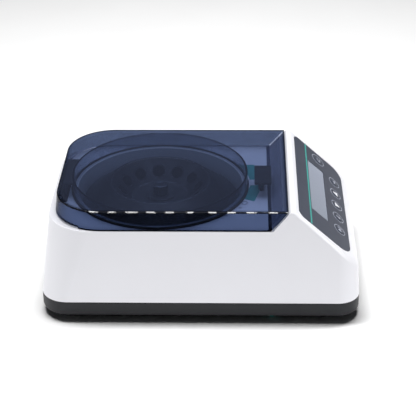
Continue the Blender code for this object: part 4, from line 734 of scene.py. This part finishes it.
def makeTray():
    loft = housingLoft(0.0)
    lipOut = tray["lipInset"]
    lipIn = lipOut + tray["lipWall"]
    rings = [(tray["footInset"], tray["foot"]), (tray["footInset"] * 0.45, tray["foot"] + tray["chamfer"] * 0.35),
             (tray["footInset"] * 0.15, tray["foot"] + tray["chamfer"]), (0.0, tray["foot"] + tray["rise"]),
             (0.0, tray["top"] - 0.3), (0.25, tray["top"]), (lipOut, tray["top"]),
             (lipOut, housing["split"] + tray["lipHeight"]), (lipIn, housing["split"] + tray["lipHeight"]),
             (lipIn, tray["floorTop"])]
    shape = bmesh.new()
    loops = []
    for inset, height in rings:
        half = [loft.point(index, housing["split"], inset) for index in range(loft.count)]
        loops.append([shape.verts.new((x, y, height)) for x, y in half + [(x, -y) for x, y in reversed(half)]])
    for low, high in zip(loops, loops[1:]):
        for index in range(len(low)):
            follow = (index + 1) % len(low)
            shape.faces.new((low[index], low[follow], high[follow], high[index]))
    shape.faces.new(loops[0])
    shape.faces.new(loops[-1])
    body = meshFrom(shape)
    posts = []
    for i in range(3):
        turn = math.tau * i / 3
        posts.append(lathe([(0, 38.4), (6.0, 38.4), (6.6, 6.5), (0, 6.5)], 32,
                           Matrix.Translation((35.5 * math.cos(turn), 35.5 * math.sin(turn), 0))))
    for x, reach in tray["posts"]:
        for side in (-1, 1):
            posts.append(lathe([(0, 11.7), (3.0, 11.7), (3.0, 6.5), (0, 6.5)], 24,
                               Matrix.Translation((x, side * reach, 0))))
    holes = []
    for x, reach in tray["screws"]:
        for side in (-1, 1):
            spot = Matrix.Translation((x, side * reach, 0))
            sink, hole = tray["screwSink"], tray["screwHole"]
            holes.append(lathe([(0, 12), (hole, 12), (hole, tray["foot"] + tray["sinkDepth"]),
                                (sink, tray["foot"] + tray["sinkDepth"]), (sink, 2), (0, 2)], 24, spot))
    holes.append(lathe([(0, 12), (tray["plugHole"], 12), (tray["plugHole"], 2), (0, 2)], 20,
                       Matrix.Translation((*tray["plug"], 0))))
    body = carved(body, holes, posts)
    body = grown(body, cutSlats, {"Finish": looks["tray"].material})
    finished("trayDark", body, "tray", "housing", ("base_tray",), weighted=True)


makeHousing()
makeTray()
print("housing and tray made")


# Chamber bowl and its seal

chamber = {"radius": 71.0, "wall": 1.8, "lip": 1.2, "lipBottom": 82.8, "lipTop": 83.8, "taper": 2.0, "floor": 44.5,
           "fillet": 6.0, "bulge": 45.0, "bulgeTop": 54.2, "bulgeSlope": 8.0, "hub": 7.0, "hubRise": 3.0,
           "sealIn": 74.3, "sealOut": 76.3, "sealTop": 84.4, "segments": 144}


def makeChamber():
    c = chamber
    lipOuter = c["radius"] + c["wall"] + c["lip"]
    footRadius = c["radius"] - c["taper"]
    foot = c["bulge"] + c["bulgeSlope"]
    inside = [(c["radius"] + 0.4, c["lipTop"]), (c["radius"] + 0.1, c["lipTop"] - 0.15),
              (c["radius"], c["lipTop"] - 0.5)]
    outside = [(lipOuter - 0.3, c["lipTop"]), (lipOuter, c["lipTop"] - 0.3), (lipOuter, c["lipBottom"]),
               (c["radius"] + c["wall"], c["lipBottom"])]
    for step in range(9):
        turn = math.pi / 2 * step / 8
        reach = c["fillet"] + c["wall"]
        inside.append((footRadius - c["fillet"] + c["fillet"] * math.cos(turn),
                       c["floor"] + c["fillet"] - c["fillet"] * math.sin(turn)))
        outside.append((footRadius + c["wall"] - reach + reach * math.cos(turn),
                        c["floor"] - c["wall"] + reach - reach * math.sin(turn)))
    hubOut = c["hub"] + c["wall"]
    inside += [(foot, c["floor"]), (c["bulge"], c["bulgeTop"]), (hubOut, c["bulgeTop"]),
               (hubOut, c["bulgeTop"] + c["hubRise"]), (c["hub"], c["bulgeTop"] + c["hubRise"])]
    outside += [(foot - c["wall"] / 2, c["floor"] - c["wall"]), (c["bulge"] - c["wall"] / 2, c["bulgeTop"] - c["wall"]),
                (c["hub"], c["bulgeTop"] - c["wall"])]
    bowl = lathe(outside + inside[::-1], c["segments"])
    # faces on the lip's inner top edge get the lighter grey: a painted highlight along the rim
    for face in bowl.polygons:
        onRim = math.hypot(face.center.x, face.center.y) < c["radius"] + 0.45 and face.center.z > c["lipTop"] - 0.55
        face.material_index = 1 if onRim else 0
    finished("chamberBowl", bowl, "chamber chamberRim", "housing", ("chamber_bowl",))
    low, high = c["lipBottom"], c["sealTop"]
    middle = (c["sealIn"] + c["sealOut"]) / 2
    lips = [(c["sealIn"], high - 0.5), (c["sealIn"] + 0.3, high - 0.12), (middle - 0.25, high), (middle, high - 0.25),
            (middle + 0.25, high), (c["sealOut"] - 0.3, high - 0.12), (c["sealOut"], high - 0.5), (c["sealOut"], low),
            (c["sealIn"], low)]
    finished("chamberSeal", lathe(lips, c["segments"]), "rubber", "housing", ("chamber_seal",))


# Rotor with twelve leaning tube holes, and its knob

rotor = {"radius": 67.0, "rim": 70.0, "rimDepth": 6.0, "bottom": 48.4, "footOut": 61.5, "footIn": 55.6, "web": 2.2,
         "ring": 32.4, "ringHeight": 80.3, "hole": 5.5, "holes": 12, "lean": math.radians(45), "straight": 20.0,
         "depth": 37.0, "tip": 2.6, "phase": math.radians(96), "land": 12.3,
         "bowlFloor": 73.2, "bowlWeb": 4.6, "hub": 12.0, "hubTop": 75.0, "hubFoot": 10.5, "hubBottom": 58.0,
         "bore": 4.3, "segments": 144}


def landHeight(radius):
    return rotor["ringHeight"] + (radius - rotor["ring"]) * math.tan(rotor["lean"])


def rotorOutline():
    r = rotor
    landFoot = r["ring"] - (r["ringHeight"] - r["bowlFloor"]) / math.tan(r["lean"])
    ridgeR = r["ring"] + r["land"] * math.cos(r["lean"])
    ridgeZ = landHeight(ridgeR)
    under = r["bowlFloor"] - r["bowlWeb"]
    wallLine = r["ring"] + r["ringHeight"] - 2 * r["hole"] * math.sqrt(0.5) - r["web"] * math.sqrt(2)
    corners = [(r["bore"], r["hubTop"], 0), (r["hub"], r["hubTop"], 0.7), (r["hub"], r["bowlFloor"], 0.6),
               (landFoot, r["bowlFloor"], 2.2), (ridgeR + 0.4, ridgeZ + 0.2, 1.8), (ridgeR + 2.2, ridgeZ, 1.6),
               (r["radius"], r["rim"] + 0.6, 1.4), (r["radius"], r["rim"] - r["rimDepth"], 1.2),
               (r["footOut"], r["bottom"], 0.8), (r["footIn"], r["bottom"], 0.8), (wallLine - under, under, 1.5),
               (r["hubFoot"] + r["web"], under, 1.5), (r["hubFoot"], r["hubBottom"], 0.6),
               (r["bore"], r["hubBottom"], 0)]
    return rounded(corners, steps=5)


def makeRotor():
    r = rotor
    body = lathe(rotorOutline(), r["segments"])
    shared = {"Count": r["holes"], "Ring radius": r["ring"], "Ring height": r["ringHeight"], "Phase": r["phase"],
              "Lean": r["lean"], "Facets": 36, "Finish": looks["rotor"].material}
    body = grown(body, cutRing, {**shared, "Pin radius": r["hole"], "Tip radius": r["tip"], "Straight": r["straight"],
                                 "Taper": r["depth"] - r["straight"], "Above": r["land"]})
    body = softened(body, 0.35, 2, 40)
    finished("rotorBody", body, "rotor", "rotor", ("rotor",), weighted=True)


knob = {"radius": 6.5, "bottom": 75.3, "height": 9.4, "bore": 2.8, "boreTop": 82.3, "flutes": 20, "flute": 0.55}


def makeKnob():
    k = knob
    top = k["bottom"] + k["height"]
    outline = rounded([(0, top - 0.5, 0), (3.2, top - 0.5, 0.3), (3.8, top, 0.3), (k["radius"], top, 0.9),
                       (k["radius"], k["bottom"], 0.4), (k["bore"], k["bottom"], 0), (k["bore"], k["boreTop"], 0),
                       (0, k["boreTop"], 0)], closed=False, steps=4)
    body = lathe(outline, 96)
    body = grown(body, cutRing, {"Count": k["flutes"], "Ring radius": k["radius"] + 0.1, "Ring height": top - 1.6,
                                 "Phase": 0.0, "Lean": 0.0, "Pin radius": k["flute"], "Tip radius": k["flute"],
                                 "Straight": k["height"] - 3.6, "Taper": 0.6, "Above": 0.2, "Facets": 10,
                                 "Finish": looks["anodised"].material})
    finished("knobFluted", body, "anodised", "rotor_knob", ("rotor_knob",), sharp=28)


makeChamber()
makeRotor()
makeKnob()
print("chamber, rotor and knob made")


# Lid: a smoked shell with a collar that drops round the chamber's seal

lid = {"top": 99.4, "foot": 82.8, "wall": 2.2, "plate": 2.4, "rearInset": 5.2, "rearDraft": 1.8, "sideInset": 0.15,
       "corner": 40.0, "frontCorner": 1.5, "edge": 1.0, "frontGap": 1.1, "collarIn": 73.6,
       "collarOut": 75.2, "collarFoot": 84.7, "collarTop": 96.7, "collarHalf": 74.37, "notchHalf": 30.1, "relief": 1.2,
       "middle": 11.0, "axisX": -83.181, "axisZ": 86.6, "knuckle": 2.6}
# the rear and left densities give the rear wall and the back of the left wall denser film: painted shade on the deck
# behind and under them
film = {"plate": 0.09, "nearFoot": 0.9, "foot": 0.04, "rear": 0.42, "left": 0.3, "clear": 0.02, "line": 1.0,
        "bands": {0.5: 0.9, 1.3: 0.3, 4.0: 0.09}}
skins = {"smoke": 0, "smokeWallPaintedShade": 1, "smokeInside": 2, "smokeRampPaintedLight": 3, "smokeRim": 4}


def lidFront(height):
    return housing["ridgeRear"] - (housing["ridge"] - height) / rampRise - lid["frontGap"]


def lidLoft(inset):
    rearWall, _, half = wallAt(lid["foot"])
    halfTop = wallAt(lid["top"])[2]
    corner = lid["corner"] - inset
    return Loft(rearWall + lid["rearInset"] + inset, lidFront(lid["foot"]) - inset / math.sin(housing["ramp"]),
                half - lid["sideInset"] - inset, (corner, corner), (lid["frontCorner"], lid["frontCorner"]),
                (lid["rearDraft"], half - halfTop, lidFront(lid["foot"]) - lidFront(lid["top"])),
                lid["foot"], lid["top"], [0.0], 28)


def skinOf(face):
    # which of the lid's materials a face has, and how dense its film is
    across, normal = face.center.y, face.normal
    outward = normal.x * (face.center.x - lid["middle"]) + normal.y * across > 0
    if abs(normal.z) > 0.97 and face.center.z < lid["foot"] + lid["relief"] + 0.1:
        return skins["smokeWallPaintedShade"], film["foot"]
    if lid["top"] - lid["edge"] < face.center.z < lid["top"] - 0.01:
        return skins["smokeRim"], film["line"]
    if abs(normal.z) > 0.97 and face.center.z > lid["top"] - 0.01:
        return skins["smoke"], film["plate"]
    if normal.z < -0.97 or not outward:
        return skins["smokeInside"], 0.0
    if normal.x > 0.1 and -0.97 < normal.y < -0.25:
        return skins["smokeRim"], film["line"]
    if abs(normal.z) > 0.4:
        return skins["smokeRampPaintedLight"], film["clear"]
    # rear walls and the back of the left wall get denser film: painted shade on the deck behind them
    if normal.y > 0.3:
        return skins["smokeWallPaintedShade"], film["rear"]
    return skins["smokeWallPaintedShade"], film["left"] if normal.x < -0.3 and across > -50 else film["clear"]


def markFilm(mesh, bands):
    # bands holds the density at each point of the top face's rings
    density = mesh.attributes.new("film", "FLOAT", "CORNER")
    for face in mesh.polygons:
        face.material_index, dense = skinOf(face)
        for corner in face.loop_indices:
            x, y, z = mesh.vertices[mesh.loops[corner].vertex_index].co
            value = bands.get((round(x, 1), round(y, 1)), dense) if face.material_index == skins["smoke"] else dense
            if value == film["foot"] and y < -60:
                value = film["nearFoot"]
            density.data[corner].value = value


def makeLid():
    flat = [(-98, lid["top"]), (169, lid["top"])]
    loft = lidLoft(0.0)
    outer = loftSolid(loft, lid["foot"], flat, lambda x: lid["edge"], 5, film["bands"])
    bands = {}
    for width, dense in film["bands"].items():
        for x, y, z in topRing(loft, flat, [lid["edge"] + width] * loft.count, math.pi / 2):
            for side in (-1, 1):
                bands[round(x, 1), round(y * side, 1)] = dense
    under = lid["top"] - lid["plate"]
    hollow = loftSolid(lidLoft(lid["wall"]), lid["foot"] - 2, [(-98, under), (169, under)], lambda x: 0.5, 3)
    notch = bar((-98, -lid["notchHalf"], lid["foot"] - 2),
                (lid["axisX"] + lid["knuckle"] + 0.6, lid["notchHalf"], lid["axisZ"] + lid["knuckle"] + 0.6))
    relief = bar((-98, -87, lid["foot"] - 2), (lid["axisX"] + lid["corner"] / 2, 87, lid["foot"] + lid["relief"]))
    body = carved(outer, [hollow, notch, relief])
    markFilm(body, bands)
    finished("lidSmoked", body, " ".join(skins), "lid", ("lid_shell",), weighted=True)


def makeCollar():
    low, high = lid["collarFoot"], lid["collarTop"]
    ring = lathe([(lid["collarIn"], high), (lid["collarOut"], high), (lid["collarOut"], low + 0.3),
                  (lid["collarOut"] - 0.3, low), (lid["collarIn"] + 0.3, low), (lid["collarIn"], low + 0.3)], 160)
    sides = [bar((-98, lid["collarHalf"], low - 1), (98, 98, high + 1)),
             bar((-98, -98, low - 1), (98, -lid["collarHalf"], high + 1))]
    body = carved(ring, sides)
    density = body.attributes.new("film", "FLOAT", "FACE")
    for face in body.polygons:
        density.data[face.index].value = film["line"] if face.normal.z > 0.9 else film["clear"]
    finished("collarSmoked", body, "smokeCollar", "lid", ("lid_collar",))


makeLid()
makeCollar()
print("lid made")


# Keypad: overlay, printed stripe, key caps with their rings and signs

def onSlope(s, y, lift=0.0):
    return slopeMatrix() @ Matrix.Translation((s, y, lift))


def sign(kind):
    # outlines of the printed signs, in mm, with x down the slope
    if kind == "up":
        return [[(-1.9, 0), (1.2, -1.7), (1.2, 1.7)]]
    if kind == "down":
        return [[(1.9, 0), (-1.2, 1.7), (-1.2, -1.7)]]
    if kind == "run":
        return [[(-1.5, -1.5), (1.5, -1.5), (0, 1.0)], [(-1.5, 1.3), (1.5, 1.3), (1.5, 1.9), (-1.5, 1.9)]]
    if kind == "pulse":
        return [[(-1.7, -0.3), (0.3, -0.3), (0.3, -1.2), (1.8, 0.0), (0.3, 1.2), (0.3, 0.3), (-1.7, 0.3)]]
    if kind == "step":
        return [[(-0.3, -1.8), (0.3, -1.8), (0.3, 0.6), (1.2, 0.6), (0, 1.9), (-1.2, 0.6), (-0.3, 0.6)]]
    return [[(1.0, -1.8), (1.6, -1.8), (1.6, 1.8), (1.0, 1.8)], [(0.4, -1.6), (-1.4, 1.2), (-0.9, 1.6), (0.8, -1.3)]]


def makeKeypad():
    p = panel
    slope = slopeMatrix()
    body = prism(plate(0, p["length"], p["width"], (p["topCorner"], p["footCorner"])), -p["thickness"], 0, slope)
    half = (p["windowHeight"] / 2, p["windowWidth"] / 2)
    window = rounded([(p["windowS"] - half[0], -half[1], 1.0), (p["windowS"] + half[0], -half[1], 1.0),
                      (p["windowS"] + half[0], half[1], 1.0), (p["windowS"] - half[0], half[1], 1.0)], steps=5)
    tools = [prism(window, -3, 3, slope)]
    for s, y in keyPlaces():
        tools.append(lathe([(0, 3), (p["keyRadius"] + 0.3, 3), (p["keyRadius"] + 0.3, -3), (0, -3)], 48,
                           slope @ Matrix.Translation((s, y, 0))))
    finished("overlayFilm", softened(carved(body, tools), 0.08, 1, 40), "film", "housing", ("control_overlay",),
             weighted=True)
    reach = p["width"] / 2 - 1.0
    ends = (p["stripeS"] - p["stripeWidth"] / 2, p["stripeS"] + p["stripeWidth"] / 2)
    band = rounded([(ends[0], -reach, 0.2), (ends[1], -reach, 0.2), (ends[1], reach, 0.2), (ends[0], reach, 0.2)],
                   steps=2)
    stripe = prism(band, 0.005, p["printLift"], slope)
    finished("stripeTeal", stripe, "tealPrint", "housing")
    signs = ["run", "pulse", "down", "up", "step", "open"]
    rings = []
    for number, ((s, y), kind) in enumerate(zip(keyPlaces(), signs), 1):
        spot = onSlope(s, y)
        cap, high = p["keyRadius"], p["keyProud"]
        outline = rounded([(0, high, 0), (cap, high, 0.25), (cap, high - 6.2, 0.2), (0, high - 6.2, 0)],
                          closed=False, steps=4)
        finished(f"keyCap{number}", lathe(outline, 48, spot), "keyCap", f"key_{number}", (f"key_{number}",))
        size = p["arrowSize"] if kind in ("up", "down") else p["signSize"]
        marks = [prism([(x * size, across * size) for x, across in line], high + 0.005, high + p["printLift"], spot)
                 for line in sign(kind)]
        ink = "print" if kind in ("up", "down") else "greyPrint"
        finished(f"keyPrint{number}", merged(marks), ink, f"key_{number}")
        rings.append(ringPlate(*p["sideRing" if number == 6 else "keyRing"], 0.005, p["printLift"], spot))
    finished("keyRings", merged(rings), "greyPrint", "housing")


deckMarks = {"lift": 0.06, "arcRadius": (77.9, 90.0), "cut": 82.5, "arcRows": (11.7, 40.0), "plugAt": (72.6, -30.1),
             "patch": ((77.6, 1.3), (88.4, 1.7), (80.9, -27.5), (72.3, -23.5)), "dotAt": (68.9, -38.7)}


def makeDeckMarks():
    # the printed guide beside the chamber: an arc cut off by the latch, a slanted patch, an oval and a dot
    d = deckMarks
    low, high = housing["deck"] + 0.005, housing["deck"] + d["lift"]
    rows = [between(*d["arcRows"], step / 24) for step in range(25)]
    inner = [(math.sqrt(max(d["arcRadius"][0] ** 2 - row ** 2, 0)), row) for row in rows]
    outer = [(min(d["cut"], math.sqrt(d["arcRadius"][1] ** 2 - row ** 2)), row) for row in rows[::-1]]
    patch = rounded([(x, y, 0.8) for x, y in d["patch"]], steps=4)
    marks = [prism(inner + outer, low, high), prism(patch, low, high)]
    finished("deckPrintTeal", merged(marks), "tealPrint", "housing")
    oval = Matrix.Translation((*d["plugAt"], 0)) @ Matrix.Diagonal((1.0, 1.25, 1.0, 1.0))
    dot = Matrix.Translation((*d["dotAt"], 0))
    signs = [ringPlate(2.6, 2.0, low, high, oval), ringPlate(1.2, 0.7, low, high, dot)]
    finished("deckPrintDark", merged(signs), "darkPrint", "housing")


makeKeypad()
makeDeckMarks()
print("keypad made")


# Feet, plug and rear fittings

foot = {"radius": 8.5, "taper": 1.0, "rim": 0.8, "top": 4.7, "places": ((-72, 71), (139, 71))}


def makeFeet():
    number = 0
    for x, reach in foot["places"]:
        for side in (-1, 1):
            number += 1
            low = foot["radius"] - foot["taper"]
            outline = rounded([(0, foot["top"], 0), (foot["radius"], foot["top"], 0.3), (low, foot["rim"], 0.5),
                               (low - foot["rim"], 0, 0.4), (4.6, 0, 0.2), (4.2, 0.5, 0.2), (0, 0.5, 0)],
                              closed=False, steps=4)
            finished(f"footRubber{number}", lathe(outline, 64, Matrix.Translation((x, side * reach, 0))),
                     "rubber", "housing", (f"rubber_foot_{number}",))


def makeRearFittings():
    spot = rearMatrix(rear["jackY"])
    pin = lathe([(0, 0.9), (0.7, 0.9), (1.05, 0.6), (1.05, -8.4), (0, -8.4)], 32, spot)
    barrel = rounded([(0, -7.8, 0), (3.2, -7.8, 0), (3.2, 1.2, 0.3), (7.5, 1.2, 0.4), (7.5, 0.3, 0.1), (5.6, 0.3, 0),
                      (5.6, -13, 0.4), (0, -13, 0)], closed=False, steps=4)
    finished("jackBlack", carved(lathe(barrel, 64, spot), [], [pin]), "black", "housing", ("power_jack",))


nodeLooks = {"steel": ["hinge_pin", "motor_body", "motor_plate", "drive_shaft", "lock_bolt", "case_screw_1",
                       "case_screw_2", "case_screw_3", "case_screw_4"],
             "rubber": ["shaft_seal", "rubber_damper_1", "rubber_damper_2", "rubber_damper_3"],
             "black": ["hinge_bracket", "display_module", "lock_housing", "switch_frame", "hinge_leaf", "latch_hook"],
             "display": ["display_window"], "board": ["control_board", "power_board"], "teal": ["release_plug"],
             "rocker": ["power_rocker"]}

makeFeet()
makeRearFittings()
for lookName, names in nodeLooks.items():
    for name in names:
        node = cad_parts[name]
        node.data.materials.clear()
        node.data.materials.append(looks[lookName].material)
print("fittings made, nodes dressed")


# Studio: pale floor, soft lights, and the camera of the photograph

view = {"place": (37.8, -995.8, 616.8), "pitch": 29.17, "yaw": -1.87, "roll": -0.73, "focal": 1309.4, "picture": 416}


def makeCamera():
    camera = bpy.data.objects.new("camera", bpy.data.cameras.new("camera"))
    bpy.context.scene.collection.objects.link(camera)
    camera.data.sensor_width = 36.0
    camera.data.lens = 36.0 * view["focal"] / view["picture"]
    camera.data.clip_start = 0.05
    pitch, yaw, roll = (math.radians(view[key]) for key in ("pitch", "yaw", "roll"))
    forward = Vector((math.sin(yaw) * math.cos(pitch), math.cos(yaw) * math.cos(pitch), -math.sin(pitch)))
    right = Vector((math.cos(yaw), -math.sin(yaw), 0))
    up = right.cross(forward)
    turnedRight = right * math.cos(roll) + up * math.sin(roll)
    turnedUp = up * math.cos(roll) - right * math.sin(roll)
    matrix = Matrix((turnedRight, turnedUp, -forward)).transposed().to_4x4()
    matrix.translation = Vector(view["place"]) * milli
    camera.matrix_world = matrix
    bpy.context.scene.camera = camera


def makeFloor():
    floorLook = Look("floorPale", (0.98, 0.98, 0.98), 0.8)
    floorLook.drive("Roughness", floorLook.spread(floorLook.noise(0.08), 0.3, 0.7, 0.75, 0.9))
    shape = bmesh.new()
    bmesh.ops.create_grid(shape, x_segments=4, y_segments=4, size=6.0)
    mesh = bpy.data.meshes.new("floor")
    shape.to_mesh(mesh)
    shape.free()
    mesh.materials.append(floorLook.material)
    floor = bpy.data.objects.new("floor", mesh)
    bpy.context.scene.collection.objects.link(floor)


def areaLight(name, place, aim, size, power, onFloor):
    # onFloor: INCLUDE lights the floor alone, EXCLUDE all but the floor
    data = bpy.data.lights.new(name, "AREA")
    data.shape = "RECTANGLE"
    data.size, data.size_y = size
    data.energy = power
    light = bpy.data.objects.new(name, data)
    light.location = place
    light.rotation_euler = (Vector(aim) - Vector(place)).to_track_quat("-Z", "Y").to_euler()
    bpy.context.scene.collection.objects.link(light)
    lit = bpy.data.collections.new(name + "Lit")
    lit.objects.link(bpy.data.objects["floor"])
    lit.collection_objects[0].light_linking.link_state = onFloor
    light.light_linking.receiver_collection = lit


def makeStudio():
    world = bpy.data.worlds.new("studio")
    bpy.context.scene.world = world
    world.use_nodes = True
    links, nodes = world.node_tree.links, world.node_tree.nodes
    soft = nodes["Background"]
    soft.inputs[0].default_value = (0.93, 0.96, 1.0, 1)
    height = nodes.new("ShaderNodeSeparateXYZ")
    links.new(nodes.new("ShaderNodeTexCoord").outputs[0], height.inputs[0])
    fade = nodes.new("ShaderNodeMapRange")
    for socket, value in zip(fade.inputs[1:5], studio["skyFade"]):
        socket.default_value = value
    links.new(height.outputs[2], fade.inputs[0])
    links.new(fade.outputs[0], soft.inputs[1])
    seen = nodes.new("ShaderNodeBackground")
    seen.inputs[0].default_value = (1, 1, 1, 1)
    seen.inputs[1].default_value = 1.0
    ray = nodes.new("ShaderNodeLightPath")
    mix = nodes.new("ShaderNodeMixShader")
    links.new(ray.outputs["Is Camera Ray"], mix.inputs[0])
    links.new(soft.outputs[0], mix.inputs[1])
    links.new(seen.outputs[0], mix.inputs[2])
    links.new(mix.outputs[0], nodes["World Output"].inputs[0])
    for lightName, place, size, power, onFloor in studio["lights"]:
        areaLight(lightName, place, (0, 0, 0.05), size, power, onFloor)
    bpy.context.scene.view_settings.view_transform = "Standard"


makeCamera()
makeFloor()
makeStudio()
print("studio made")
